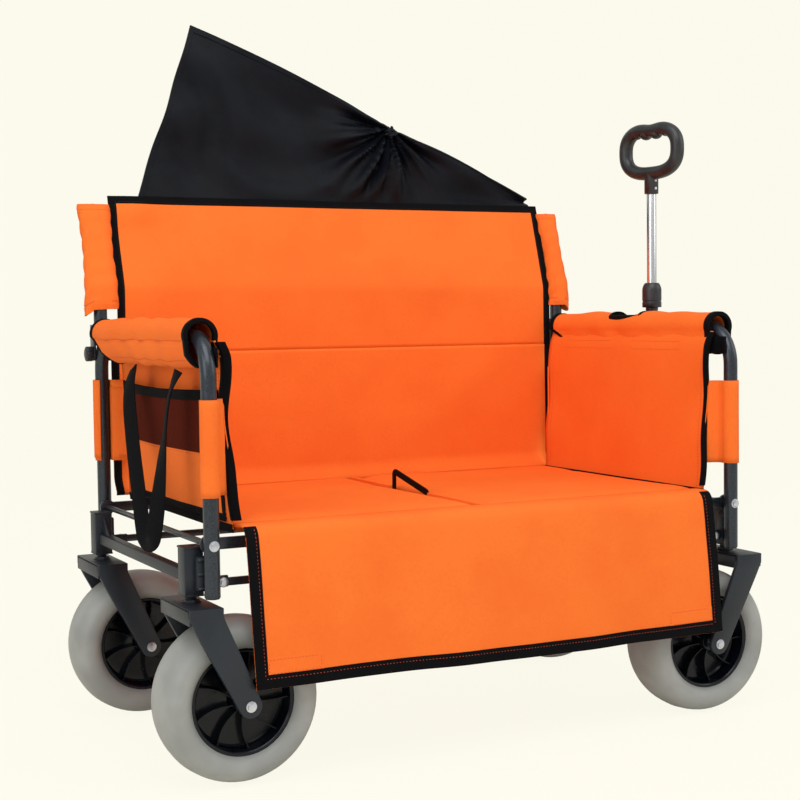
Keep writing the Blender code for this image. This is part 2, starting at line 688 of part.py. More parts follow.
def flap_point(u, v):
    x = FLAP_X * (2 * u - 1)
    start_y, top_z = -SEAT_HALF_Y - GAP - 0.0003, SEAT_TOP - 0.0012
    turn_y = FLAP_TOP_Y + FLAP_ROUND
    flat, bend = 0.12, 0.30
    wave = 0.0016 * math.sin(7.0 * u + 0.5) * max(0.0, (v - bend) / (1 - bend))
    if v <= flat:
        share = v / flat
        return (x, start_y + (turn_y - start_y) * share, top_z)
    if v <= bend:
        angle = math.radians(90) * (v - flat) / (bend - flat)
        return (x, turn_y - FLAP_ROUND * math.sin(angle), top_z - FLAP_ROUND * (1 - math.cos(angle)))
    share = (v - bend) / (1 - bend)
    z = top_z - FLAP_ROUND + (FLAP_HEM_Z - top_z + FLAP_ROUND) * share
    return (x, FLAP_TOP_Y + (FLAP_HEM_Y - FLAP_TOP_Y) * share - wave, z)


finish(surface(flap_point, 10, 13), "front_flap_cloth", "front_flap", "orange_cloth")


# End walls and armrests: a padded sleeve over the tube, and the inner cloth wall under it

def wall_x(z):
    share = (z - WALL_LOW_Z) / (WALL_TOP_Z - WALL_LOW_Z)
    return WALL_LOW_X + (WALL_TOP_X - WALL_LOW_X) * share


def wall_sheet(x):
    def point(u, v):
        z = WALL_LOW_Z + (WALL_TOP_Z - WALL_LOW_Z) * v
        return (x * wall_x(z), WALL_HALF_Y * (2 * u - 1), z)
    return surface(point, 2, 8)


def post_wrap(x, y, low, high):
    """The cloth tab from the wall's edge round the post and back to where it left it."""
    radius = POST_R + GAP + CLOTH / 2
    leave = math.radians(-50)

    def point(u, v):
        z = low + (high - low) * v
        centre = Vector((x * POST_X, y * POST_Y, z))
        bend_at = Vector((x * TAB_X, y * TAB_Y, z))
        wall = Vector((x * wall_x(z), y * (WALL_HALF_Y - 0.004), z))
        first = centre + radius * Vector((-x * math.cos(leave), y * math.sin(leave), 0))
        leg = 2 / 18
        if u < leg:
            return wall.lerp(bend_at, u / leg)
        if u < 2 * leg:
            return bend_at.lerp(first, u / leg - 1)
        angle = leave + math.radians(290) * (u - 2 * leg) / (1 - 2 * leg)
        return centre + radius * Vector((-x * math.cos(angle), y * math.sin(angle), 0))
    return surface(point, 18, 1)


def end_wall(x):
    """The inner wall with its two cloth tabs sewn on."""
    tabs = [post_wrap(x, y, TAB_LOW + rise, TAB_HIGH + rise) for y, rise in ((-1, 0.0), (1, TAB_REAR_RISE))]
    return fused([wall_sheet(x)] + tabs)


def arm_section():
    """The sleeve's teardrop: round over the tube, drawn to a seam on the outer side."""
    around = ring_points((0, 0), ARM_PAD_R, 15, math.radians(-20), math.radians(220), ends=True)
    seam = ARM_SEAM_Z - ARM_Z
    return around + [(-0.0165, -0.021), (-0.006, seam), (0.004, seam), (0.0165, -0.023)]


def armrest(x):
    outline = [(x * a, b) for a, b in arm_section()]
    if x > 0:
        outline.reverse()
    length = ARM_BACK_TOP_Y - ARM_FRONT_Y
    sleeve = slab([outline], length, Matrix.Translation((x * POST_X, (ARM_BACK_TOP_Y + ARM_FRONT_Y) / 2, ARM_Z))
                  @ Matrix.Rotation(math.radians(90), 4, "X"))
    clearance = pipe(filleted([(x * POST_X, -POST_Y, ARM_SEAM_Z - 0.1), (x * POST_X, -POST_Y, ARM_Z),
                               (x * POST_X, POST_Y, ARM_Z), (x * POST_X, POST_Y, ARM_SEAM_Z - 0.1)],
                              ARM_BEND_R, 5), POST_R + 2 * GAP)
    cut(sleeve, clearance, f"arm_tube_{x}")
    slant = slab([[(ARM_BACK_LOW_Y, ARM_SEAM_Z - 0.002), (ARM_BACK_TOP_Y, ARM_Z - 0.004),
                   (ARM_BACK_TOP_Y + 0.03, ARM_Z - 0.004), (ARM_BACK_TOP_Y + 0.03, ARM_SEAM_Z - 0.03),
                   (ARM_BACK_LOW_Y, ARM_SEAM_Z - 0.03)]], 0.08, Matrix.Translation((x * POST_X, 0, 0)) @ across_plane)
    cut(sleeve, slant, f"arm_slant_{x}")
    if x > 0:
        notch = block((0.06, NOTCH_BACK - NOTCH_FRONT, 0.12),
                      (POST_X - NOTCH_REACH + 0.03, (NOTCH_BACK + NOTCH_FRONT) / 2, ARM_Z))
        cut(sleeve, notch, "arm_notch")
    return sleeve


for end, x in ENDS:
    finish(end_wall(x), end + "_end_wall", end + "_end", "orange_cloth")
    finish(armrest(x), end + "_armrest", end + "_end", "orange_cloth")


# Pocket and carry loop outside the left end

def pocket_point(u, v):
    z = POCKET_LOW_Z + (POCKET_TOP_Z - POCKET_LOW_Z) * v
    y = POCKET_HALF_Y * (2 * u - 1)
    stand = CLOTH + 0.0005 + POCKET_BULGE * math.sin(math.pi * u) ** 0.7 * math.sin(math.pi * min(1, 0.12 + v) / 2)
    return (-wall_x(z) - stand, y, z)


finish(surface(pocket_point, 12, 8), "left_mesh_pocket", "left_end", "mesh_cloth")

# Along the strap: X, Y and the share of its height
LOOP_TOP_Z = ARM_SEAM_Z - 0.0075
LOOP_SHAPE = [(-0.3830, 0.058, 1.0000), (-0.3960, 0.048, 0.8611), (-0.4020, 0.020, 0.5833),
              (-0.4055, -0.020, 0.2593), (-0.4075, -0.049, 0.0556), (-0.4085, -0.068, 0.0000),
              (-0.4075, -0.086, 0.0556), (-0.4055, -0.099, 0.2593), (-0.4020, -0.108, 0.5833),
              (-0.3960, -0.116, 0.8611), (-0.3830, -0.121, 1.0000)]
LOOP_ROUTE = [(px, py, LOOP_LOW_Z + (LOOP_TOP_Z - LOOP_LOW_Z) * share) for px, py, share in LOOP_SHAPE]


def loop_point(u, v):
    place = u * (len(LOOP_ROUTE) - 1)
    i = min(int(place), len(LOOP_ROUTE) - 2)
    here, ahead = Vector(LOOP_ROUTE[i]), Vector(LOOP_ROUTE[i + 1])
    centre = here.lerp(ahead, place - i)
    flat_run = Vector((0, ahead.y - here.y, ahead.z - here.z)).normalized()
    if i in (4, 5):
        flat_run = Vector((0, -1, 0))
    side = Vector((0, flat_run.z, -flat_run.y))
    return centre + side * LOOP_W * (v - 0.5)


finish(surface(loop_point, 20, 2, LOOP_T), "left_carry_loop", "left_end", "black_webbing")


# Back: uprights on hinges, cloth with two sleeves, and the black cover sewn along its top

def upright_y(z):
    """Where the upright's middle lies at a height: straight, then a bend, then leaning back."""
    reach = UPRIGHT_BEND_R * math.tan(RECLINE / 2)
    along = z - UPRIGHT_BEND_Z + reach
    if along <= 0:
        return POST_Y
    if along < reach * (1 + math.cos(RECLINE)):
        return POST_Y + UPRIGHT_BEND_R - math.sqrt(UPRIGHT_BEND_R ** 2 - along ** 2)
    return POST_Y + (z - UPRIGHT_BEND_Z) * math.tan(RECLINE)


def back_y(z):
    lean = max(0.0, z - UPRIGHT_BEND_Z) * math.tan(RECLINE)
    share = min(1.0, max(0.0, (z - BACK_LOW_Z) / (UPRIGHT_BEND_Z - BACK_LOW_Z)))
    return BACK_LOW_Y + (POST_Y - BACK_LOW_Y) * share * 0.6 + lean


def back_panel(left, right, low, high, rows):
    def point(u, v):
        z = low + (high - low) * v
        belly = BACK_BELLY * math.sin(math.pi * u) * math.sin(math.pi * (z - BACK_LOW_Z) / (BACK_TOP_Z - BACK_LOW_Z))
        return (left + (right - left) * u, back_y(z) + belly, z)
    return surface(point, 12, rows)


def sleeve(x):
    """A flat loose sleeve round an upright, sewn to the panel's side edge."""
    inside = abs(BACK_LEFT if x < 0 else BACK_RIGHT) - 0.0004
    half_x = (SLEEVE_OUT_X - inside) / 2
    middle = x * (SLEEVE_OUT_X + inside) / 2
    half_y = POST_R + SLEEVE_SLACK + CLOTH / 2

    def point(u, v):
        z = SLEEVE_LOW + (SLEEVE_HIGH - SLEEVE_LOW) * v
        a = 2 * math.pi * u
        px = math.copysign(half_x - half_y, math.cos(a)) + half_y * math.cos(a)
        return (middle + px, upright_y(z) + half_y * 1.06 * math.sin(a), z)
    return surface(point, 12, 7, wrap=True)


def hinge_bracket(x):
    """Two cheeks beside the post and the socket that holds the upright's foot."""
    inner = POST_R + GAP
    outer = inner + HINGE_CHEEK_T
    cheeks = []
    for s in (-1, 1):
        tongue = ring_points((0, HINGE_Z), 0.010, 9, math.pi, math.pi, ends=True)
        outline = [(POST_Y + a, b) for a, b in tongue] + [(POST_Y + 0.010, HINGE_SOCKET_HIGH),
                                                         (POST_Y - 0.010, HINGE_SOCKET_HIGH)]
        cheeks.append(slab([outline], HINGE_CHEEK_T,
                           Matrix.Translation((x * POST_X + s * (inner + outer) / 2, 0, 0)) @ across_plane))
    socket = rod(outer, (x * POST_X, POST_Y, HINGE_SOCKET_LOW), (x * POST_X, POST_Y, HINGE_SOCKET_HIGH), 16)
    return fused(cheeks + [socket])


for end, x in ENDS:
    body = end + "_upright"
    lean_y = upright_y(UPRIGHT_TOP_Z)
    route = filleted([(x * POST_X, POST_Y, HINGE_SOCKET_HIGH + GAP), (x * POST_X, POST_Y, UPRIGHT_BEND_Z),
                      (x * POST_X, lean_y, UPRIGHT_TOP_Z)], UPRIGHT_BEND_R, 4)
    smooth(finish(pipe(route, POST_R), end + "_upright_tube", body, "hammered"))
    finish(hinge_bracket(x), end + "_back_hinge", body, "black_plastic")
    face = POST_X + POST_R + GAP + HINGE_CHEEK_T + GAP
    finish(rod(KNOB_R, (x * face, POST_Y, HINGE_Z), (x * (face + KNOB_T), POST_Y, HINGE_Z), 18),
           end + "_back_knob", body, "black_plastic")

lower_half = POST_X - POST_R - HINGE_CHEEK_T - 2 * GAP
finish(back_panel(-lower_half, lower_half, BACK_LOW_Z, HINGE_Z - GAP / 2, 6),
       "lower_back_cloth", "left_end", "orange_cloth")
finish(fused([back_panel(BACK_LEFT, BACK_RIGHT, HINGE_Z + GAP / 2, BACK_TOP_Z, 8), sleeve(-1), sleeve(1)]),
       "upper_back_cloth", "left_upright", "orange_cloth")


def cover_top(u):
    """The cover's upper edge: from its peak down to the knot, then on to its right end."""
    peak, knot = Vector(COVER_PEAK), Vector(COVER_KNOT)
    end = Vector((COVER_RIGHT, back_y(BACK_TOP_Z) + 0.003, BACK_TOP_Z + CLOTH + COVER_END_RISE))
    split = 0.56
    if u <= split:
        share = u / split
        return peak.lerp(knot, share) + Vector((0, 0, 0.009 * math.sin(math.pi * share)))
    share = (u - split) / (1 - split)
    return knot.lerp(end, share) + Vector((0, 0, 0.006 * math.sin(math.pi * share)))


def cover_point(u, v):
    base = Vector((COVER_LEFT + (COVER_RIGHT - COVER_LEFT) * u, back_y(BACK_TOP_Z), BACK_TOP_Z + 0.0007))
    place = base.lerp(cover_top(u), v)
    fold = (0.008 * math.sin(9.5 * u - 2.2 * v) + 0.006 * math.sin(17.0 * u + 4.0 * v)) * math.sin(math.pi * min(1, v))
    knot = 0.010 * math.exp(-((u - 0.56) / 0.05) ** 2) * v * (1 - 0.4 * v)
    return place + Vector((0, fold - knot, 0))


finish(surface(cover_point, 24, 9), "black_cover", "left_upright", "black_satin")


# Handle: bracket, outer tube with its lug, collar, sliding rod, grip and the clip on the armrest tube

tube_face = STEM_X + AXLE_TUBE / 2 + GAP
cheeks = [block((0.0320, BRACKET_CHEEK_T, BRACKET_HIGH - BRACKET_LOW),
                (tube_face + 0.0160, s * (BRACKET_HALF_Y + BRACKET_CHEEK_T / 2),
                 (BRACKET_LOW + BRACKET_HIGH) / 2)) for s in (-1, 1)]
web = block((0.0022, 2 * BRACKET_HALF_Y + 0.002, BRACKET_HIGH - BRACKET_LOW),
            (tube_face + 0.0011, 0, (BRACKET_LOW + BRACKET_HIGH) / 2))
finish(fused([web] + cheeks), "handle_bracket", "right_end", "fork_grey")

lug = block((0.0220, 2 * (BRACKET_HALF_Y - GAP), HANDLE_LUG_H), (HANDLE_PIVOT_X - 0.0025, 0, HANDLE_PIVOT_Z + 0.007))
outer_tube = rod(HANDLE_TUBE_R, (HANDLE_X, 0, HANDLE_TUBE_LOW), (HANDLE_X, 0, HANDLE_TUBE_HIGH), 16)
handle_tube = fused([lug, outer_tube])
bore = rod(HANDLE_ROD_R + GAP, (HANDLE_X, 0, HANDLE_TUBE_LOW - 0.003), (HANDLE_X, 0, HANDLE_TUBE_HIGH + 0.01), 16)
finish(cut(handle_tube, bore, "handle_bore"), "handle_tube", "handle", "fork_grey")

collar = rod(COLLAR_R, (HANDLE_X, 0, COLLAR_LOW), (HANDLE_X, 0, COLLAR_HIGH), 18)
lower_bore = rod(HANDLE_TUBE_R + GAP, (HANDLE_X, 0, COLLAR_LOW - 0.01), (HANDLE_X, 0, HANDLE_TUBE_HIGH + GAP), 16)
upper_bore = rod(HANDLE_ROD_R + GAP, (HANDLE_X, 0, COLLAR_LOW), (HANDLE_X, 0, COLLAR_HIGH + 0.01), 16)
cut(collar, lower_bore, "collar_tube")
finish(cut(collar, upper_bore, "collar_rod"), "handle_collar", "handle", "black_plastic")

finish(rod(HANDLE_ROD_R, (HANDLE_X, 0, HANDLE_ROD_LOW), (HANDLE_X, 0, NECK_HIGH - 0.004), 16),
       "handle_inner_rod", "handle_rod", "steel")


def grip():
    """A closed ring with straight sides on a short neck, turned a little about the rod."""
    ring = []
    count = 22
    for i in range(count):
        a = 2 * math.pi * i / count
        c, s = math.cos(a), math.sin(a)
        across = math.copysign(abs(c) ** 0.75, c) * (GRIP_HALF_W - GRIP_R * 0.1)
        high = math.copysign(abs(s) ** 0.8, s) * GRIP_HALF_H
        dip = 0.004 * math.exp(-(across / 0.018) ** 2) if s > 0 else 0.0
        ring.append((HANDLE_X + across * math.sin(GRIP_TURN) * -1, across * math.cos(GRIP_TURN), GRIP_Z + high - dip))
    loop = pipe(ring, GRIP_R, closed=True)
    neck = rod(NECK_R, (HANDLE_X, 0, NECK_LOW), (HANDLE_X, 0, GRIP_Z - GRIP_HALF_H + 0.001), 16)
    whole = fused([loop, neck])
    rod_hole = rod(HANDLE_ROD_R + GAP, (HANDLE_X, 0, NECK_LOW - 0.01), (HANDLE_X, 0, NECK_HIGH - 0.004 + GAP), 16)
    return cut(whole, rod_hole, "grip_socket")


finish(grip(), "handle_grip", "handle_rod", "black_plastic")

clip_in = POST_X + 0.0030
clip = block((CLIP_OUT_X - clip_in, 2 * CLIP_HALF_Y, 2 * CLIP_HALF_Z), ((CLIP_OUT_X + clip_in) / 2, 0, ARM_Z))
arm_hole = rod(POST_R + GAP, (POST_X, -2 * CLIP_HALF_Y, ARM_Z), (POST_X, 2 * CLIP_HALF_Y, ARM_Z), 16)
tube_hole = rod(HANDLE_TUBE_R + GAP, (HANDLE_X, 0, ARM_Z - 2 * CLIP_HALF_Z), (HANDLE_X, 0, ARM_Z + 2 * CLIP_HALF_Z), 16)
cut(clip, arm_hole, "clip_arm")
finish(cut(clip, tube_hole, "clip_handle"), "handle_clip", "right_end", "black_plastic")


# The origin is under the middle of the whole wagon, on the ground

def centre_on_ground():
    bpy.context.view_layer.update()
    graph = bpy.context.evaluated_depsgraph_get()
    low, high = Vector((9, 9, 9)), Vector((-9, -9, -9))
    for obj in parts.objects:
        if obj.type != "MESH":
            continue
        seen = obj.evaluated_get(graph)
        for corner in seen.data.vertices:
            place = seen.matrix_world @ corner.co
            low = Vector(map(min, low, place))
            high = Vector(map(max, high, place))
    root = pivots["left_end"][0]
    root.location = (-(low.x + high.x) / 2, -(low.y + high.y) / 2, -low.z)


centre_on_ground()
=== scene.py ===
from math import asin, atan2, copysign, cos, degrees, dist, exp, hypot, pi, radians, sin, sqrt, tan
import bmesh
import bpy
from mathutils import Matrix, Vector, noise


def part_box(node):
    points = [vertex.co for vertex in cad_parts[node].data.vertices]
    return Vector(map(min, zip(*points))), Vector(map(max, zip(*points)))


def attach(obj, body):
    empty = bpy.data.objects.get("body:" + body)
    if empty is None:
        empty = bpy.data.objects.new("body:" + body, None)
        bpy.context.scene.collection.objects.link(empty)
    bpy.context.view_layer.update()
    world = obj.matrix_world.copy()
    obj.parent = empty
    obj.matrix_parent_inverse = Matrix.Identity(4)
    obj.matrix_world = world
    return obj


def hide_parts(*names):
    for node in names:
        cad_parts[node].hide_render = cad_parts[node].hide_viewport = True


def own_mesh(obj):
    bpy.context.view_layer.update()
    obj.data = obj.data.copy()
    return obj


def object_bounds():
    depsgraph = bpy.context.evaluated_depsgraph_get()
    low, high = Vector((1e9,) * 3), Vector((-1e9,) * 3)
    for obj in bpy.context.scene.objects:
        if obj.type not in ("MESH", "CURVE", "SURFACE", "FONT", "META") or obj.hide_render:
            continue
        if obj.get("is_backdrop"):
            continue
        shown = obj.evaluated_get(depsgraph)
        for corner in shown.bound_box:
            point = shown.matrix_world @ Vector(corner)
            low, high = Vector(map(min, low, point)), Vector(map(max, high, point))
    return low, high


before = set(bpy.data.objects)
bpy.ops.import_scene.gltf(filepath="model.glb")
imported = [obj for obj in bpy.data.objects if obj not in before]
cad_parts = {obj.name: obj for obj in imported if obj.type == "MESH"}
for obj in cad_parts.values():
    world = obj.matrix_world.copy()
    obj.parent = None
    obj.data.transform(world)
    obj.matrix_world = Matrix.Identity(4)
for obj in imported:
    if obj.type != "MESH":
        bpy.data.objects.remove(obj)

cad_low, cad_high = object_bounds()
scene = bpy.context.scene

# Standpoint, floor and lamps. The wagon stands on a pale sweep and is seen from low in front of its
# left-hand end. Three broad lamps and an even sky light it, as in a plain studio.
middle_y = (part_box("left_end_tube")[0].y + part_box("left_end_tube")[1].y) / 2

turn, dip, roll = radians(26.753), radians(3.067), radians(-0.746)
ahead = Vector((sin(turn) * cos(dip), cos(turn) * cos(dip), -sin(dip)))
level = Vector((cos(turn), -sin(turn), 0))
above = level.cross(ahead)
camera = bpy.data.objects.new("camera", bpy.data.cameras.new("camera"))
scene.collection.objects.link(camera)
camera.data.sensor_width = 36.0
camera.data.lens = 69.15
stand = Matrix((cos(roll) * level + sin(roll) * above, cos(roll) * above - sin(roll) * level,
    -ahead)).transposed().to_4x4()
stand.translation = Vector((-0.9829, middle_y - 1.9109, 0.5524))
camera.matrix_world = stand
scene.camera = camera


class Figure:
    """A number that comes out of a node, so that sums on it add the nodes that work it out."""

    def __init__(self, finish, socket):
        self.finish = finish
        self.socket = socket

    def sum(self, operation, *values):
        return self.finish.node("Math", {"operation": operation}, dict(enumerate(values)))

    def __add__(self, other): return self.sum("ADD", self, other)
    def __radd__(self, other): return self.sum("ADD", other, self)
    def __sub__(self, other): return self.sum("SUBTRACT", self, other)
    def __rsub__(self, other): return self.sum("SUBTRACT", other, self)
    def __mul__(self, other): return self.sum("MULTIPLY", self, other)
    def __rmul__(self, other): return self.sum("MULTIPLY", other, self)
    def __truediv__(self, other): return self.sum("DIVIDE", self, other)
    def wave(self): return self.sum("SINE", self)
    def above(self, edge): return self.sum("GREATER_THAN", self, edge)
    def below(self, edge): return self.sum("LESS_THAN", self, edge)
    def ping(self, pitch): return self.sum("PINGPONG", self, pitch)

    def between(self, low, high):
        """0 under low, 1 over high, and a smooth step in between."""
        return self.finish.node("MapRange", {"interpolation_type": "SMOOTHSTEP"},
            {"Value": self, "From Min": low, "From Max": high})


class Finish:
    """A paint, plastic or cloth, made up node by node on one shader."""

    def __init__(self, name, rough, metal=0.0, **fixed):
        self.material = bpy.data.materials.new(name)
        self.material.use_nodes = True
        self.tree = self.material.node_tree
        self.skin = self.tree.nodes["Principled BSDF"]
        self.skin.inputs["Roughness"].default_value = rough
        self.skin.inputs["Metallic"].default_value = metal
        for key, value in fixed.items():
            self.skin.inputs[key.replace("_", " ")].default_value = value
        self.place = self.node("TexCoord", out="Object")

    def node(self, kind, settings=None, values=None, out=0):
        made = self.tree.nodes.new("ShaderNode" + kind)
        for key, value in (settings or {}).items():
            setattr(made, key, value)
        for key, value in (values or {}).items():
            self.feed(made.inputs[key], value)
        return Figure(self, made.outputs[out])

    def feed(self, socket, value):
        if isinstance(value, Figure):
            self.tree.links.new(value.socket, socket)
        elif socket.type == "RGBA" and len(value) == 3:
            socket.default_value = (*value, 1.0)
        else:
            socket.default_value = value

    def noise(self, scale, detail=2.0, place=None, rough=0.5):
        return self.node("TexNoise", None, {"Vector": place or self.place, "Scale": scale, "Detail": detail,
            "Roughness": rough})

    def blend(self, share, first, second):
        """A colour between two, by a share from 0 to 1."""
        return self.node("Mix", {"data_type": "RGBA"}, {0: share, 6: first, 7: second}, out=2)

    def axis(self, place=None):
        split = self.tree.nodes.new("ShaderNodeSeparateXYZ")
        self.tree.links.new((place or self.place).socket, split.inputs[0])
        return [Figure(self, split.outputs[i]) for i in range(3)]

    def colour(self, value, *others):
        """One colour, or a share and the two colours that it blends."""
        self.feed(self.skin.inputs["Base Color"], self.blend(value, *others) if others else value)
        return self

    def rough(self, value):
        self.feed(self.skin.inputs["Roughness"], value)
        return self

    def raised(self, height, depth):
        """Relief whose full height is depth metres."""
        bump = self.node("Bump", None, {"Strength": 1.0, "Distance": depth, "Height": height})
        self.feed(self.skin.inputs["Normal"], bump)
        return self


cream = (1.0, 0.985, 0.875)
floor_paint = Finish("cream_floor", 0.9)
floor_paint.colour((0.86, 0.84, 0.745))
seen = floor_paint.node("LightPath", out="Is Camera Ray")
glossy = floor_paint.node("LightPath", out="Is Glossy Ray")
glow = floor_paint.node("Emission", None, {"Color": cream, "Strength": 1.0}, out=0)
mixed = floor_paint.node("MixShader", None, {0: seen * 0.93 + glossy * 0.3,
    1: Figure(floor_paint, floor_paint.skin.outputs[0]), 2: glow})
floor_paint.tree.links.new(mixed.socket, floor_paint.tree.nodes["Material Output"].inputs["Surface"])

sweep = bmesh.new()
bmesh.ops.create_grid(sweep, x_segments=2, y_segments=24, size=1.0)
for point in sweep.verts:
    along = (point.co.y + 1) / 2
    point.co.x *= 9.0
    bend = max(0.0, along - 0.5) / 0.5
    point.co.y = -4.5 + 9.0 * min(along, 0.5) / 0.5 + 2.5 * sin(bend * pi / 2)
    point.co.z = -0.0005 + 6.0 * (1 - cos(bend * pi / 2))
floor_mesh = bpy.data.meshes.new("floor")
sweep.to_mesh(floor_mesh)
floor_mesh.materials.append(floor_paint.material)
floor = bpy.data.objects.new("floor", floor_mesh)
scene.collection.objects.link(floor)
floor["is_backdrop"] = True

sky = bpy.data.worlds.new("studio_sky")
scene.world = sky
sky.use_nodes = True
tree = sky.node_tree
lit, shown, mix, path = tree.nodes["Background"], *[tree.nodes.new("ShaderNode" + kind)
    for kind in ("Background", "MixShader", "LightPath")]
lit.inputs["Color"].default_value = (1.0, 0.99, 0.96, 1.0)
lit.inputs["Strength"].default_value = 0.62
shown.inputs["Color"].default_value = (*cream, 1.0)
for source, target in ((path.outputs["Is Camera Ray"], mix.inputs[0]), (lit.outputs[0], mix.inputs[1]),
        (shown.outputs[0], mix.inputs[2]), (mix.outputs[0], tree.nodes["World Output"].inputs["Surface"])):
    tree.links.new(source, target)

for name, place, size, power in (("lamp_over", (-0.6, -1.5, 2.9), 2.2, 46),
        ("lamp_side", (-2.6, -1.2, 1.5), 1.6, 18), ("lamp_far", (2.4, -1.6, 1.8), 1.6, 14)):
    lamp = bpy.data.objects.new(name, bpy.data.lights.new(name, "AREA"))
    scene.collection.objects.link(lamp)
    lamp.data.size = size
    lamp.data.energy = power
    lamp.location = place
    lamp.rotation_euler = (Vector((0, 0, 0.4)) - Vector(place)).to_track_quat("-Z", "Y").to_euler()

scene.view_settings.view_transform = "Standard"


# Measures and helpers that the sections below share. Lengths are in metres.
wheel_r, tyre_half, axle_x, caster_y = 0.1, 0.0397, 0.343, 0.19
ends, sides = (("left", -1), ("right", 1)), (("front", -1), ("rear", 1))
corners = [(end, x, side, y) for end, x in ends for side, y in sides]


def waver(*at):
    """A slow random swing between -1 and 1 from point to point."""
    return noise.noise(Vector(at))


def hump(at, middle, width):
    return exp(-((at - middle) / width) ** 2)


def moved(bm, by):
    bmesh.ops.translate(bm, vec=by, verts=bm.verts)
    return bm


def rotated(bm, angle, axis):
    bmesh.ops.rotate(bm, cent=(0, 0, 0), matrix=Matrix.Rotation(angle, 3, axis), verts=bm.verts)
    return bm


def faced(bm):
    """Turns the faces outwards."""
    bmesh.ops.recalc_face_normals(bm, faces=bm.faces)
    return bm


def eased(bm, edges, size, clamp=False):
    """Rounds some edges off."""
    bmesh.ops.bevel(bm, geom=edges, offset=size, segments=2, profile=0.5, affect="EDGES", material=-1,
        clamp_overlap=clamp)
    return bm


def arc(middle, radius, first, last, steps):
    """Points on a circle, from one angle in degrees to another."""
    angles = [radians(first + (last - first) * i / steps) for i in range(steps + 1)]
    return [(middle[0] + radius * cos(a), middle[1] + radius * sin(a)) for a in angles]


def ring(radius, sides=28):
    return arc((0, 0), radius, 0, 360, sides)[:-1]


def spun(outline, steps, centre):
    """A closed outline of (radius, along) points spun round an axle that lies along Y."""
    bm = bmesh.new()
    points = [bm.verts.new((radius, along, 0)) for radius, along in outline]
    for first, second in zip(points, points[1:] + points[:1]):
        bm.edges.new((first, second))
    bmesh.ops.spin(bm, geom=bm.verts[:] + bm.edges[:], cent=(0, 0, 0), axis=(0, 1, 0), angle=2 * pi,
        steps=steps, use_merge=True)
    bmesh.ops.remove_doubles(bm, verts=bm.verts, dist=1e-6)
    return moved(faced(bm), centre)


def joined(*meshes):
    """One mesh out of several that stay apart inside it."""
    whole = bmesh.new()
    for bm in meshes:
        holder = bpy.data.meshes.new("part")
        bm.to_mesh(holder)
        bm.free()
        whole.from_mesh(holder)
        bpy.data.meshes.remove(holder)
    return whole


def piece(name, bm, finish, body, *nodes, crease=35, bevel=0.0, levels=0, thick=0.0):
    """Makes a mesh, or a list of them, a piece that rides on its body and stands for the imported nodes."""
    bm = moved(joined(*bm) if isinstance(bm, list) else bm, (0, middle_y, 0))
    mesh = bpy.data.meshes.new(name)
    bm.to_mesh(mesh)
    bm.free()
    mesh.materials.append(finish.material)
    mesh.shade_smooth()
    mesh.set_sharp_from_angle(angle=radians(crease))
    obj = bpy.data.objects.new(name, mesh)
    scene.collection.objects.link(obj)
    if thick:
        wall = obj.modifiers.new("thickness", "SOLIDIFY")
        wall.thickness = thick
        wall.offset = 0.0
    if bevel:
        edge = obj.modifiers.new("edges", "BEVEL")
        edge.width = bevel
        edge.segments = 2
        edge.limit_method = "ANGLE"
        edge.harden_normals = True
    if levels:
        round_off = obj.modifiers.new("rounding", "SUBSURF")
        round_off.levels = round_off.render_levels = levels
    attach(obj, body)
    if nodes:
        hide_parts(*nodes)
    return obj


# Tyres: soft balloon tyres moulded in warm grey rubber. A fine mould line runs round the tread and
# a shallow ring runs round each side wall, and the bead is pressed over the hub's edge.
rubber = Finish("grey_tyre_rubber", 0.62)
specks = rubber.noise(900, 3.0)
clouds = rubber.noise(14, 3.0)
scuff = rubber.noise(60, 5.0, rough=0.7).between(0.52, 0.72)
rubber.colour(clouds.between(0.35, 0.7), (0.268, 0.276, 0.266), (0.35, 0.357, 0.345))
rubber.rough(0.55 + 0.18 * scuff)
rubber.raised(specks * 0.5 + scuff * 0.5, 0.00012)

for end, x, side, y in corners:
    corner = f"{end}_{side}"
    outline = []
    for i in range(33):
        angle = radians(-118 + 236 * i / 32)
        out = copysign(abs(cos(angle)) ** 0.86, cos(angle))
        across = copysign(abs(sin(angle)) ** 0.86, sin(angle))
        groove = 0.0007 * exp(-((abs(degrees(angle)) - 78) / 3.0) ** 2)
        seam = 0.0004 * exp(-(degrees(angle) / 2.5) ** 2)
        outline.append((0.079 + 0.0206 * out - groove + seam, (tyre_half - groove) * across))
    outline = [(0.0635, -0.029)] + outline + [(0.0635, 0.029)]
    tyre = spun(outline, 72, (x * axle_x, y * caster_y, wheel_r))
    piece(corner + "_balloon_tyre", tyre, rubber, corner + "_wheel", corner + "_tyre", crease=50)


# Hubs: one glossy black moulding a wheel. A thick rounded edge holds the tyre, the dish behind it is
# stiffened by curved vanes that run from the axle boss to the edge, and both faces are alike.
gloss = Finish("gloss_black_moulding", 0.24, Coat_Weight=0.05, Coat_Roughness=0.12, Specular_IOR_Level=0.25)
dust = gloss.noise(38, 4.0).between(0.5, 0.75)
gloss.colour(dust, (0.0022, 0.0032, 0.0062), (0.005, 0.0066, 0.0105))
gloss.rough(0.2 + 0.22 * dust)
gloss.raised(gloss.noise(420), 0.00004)

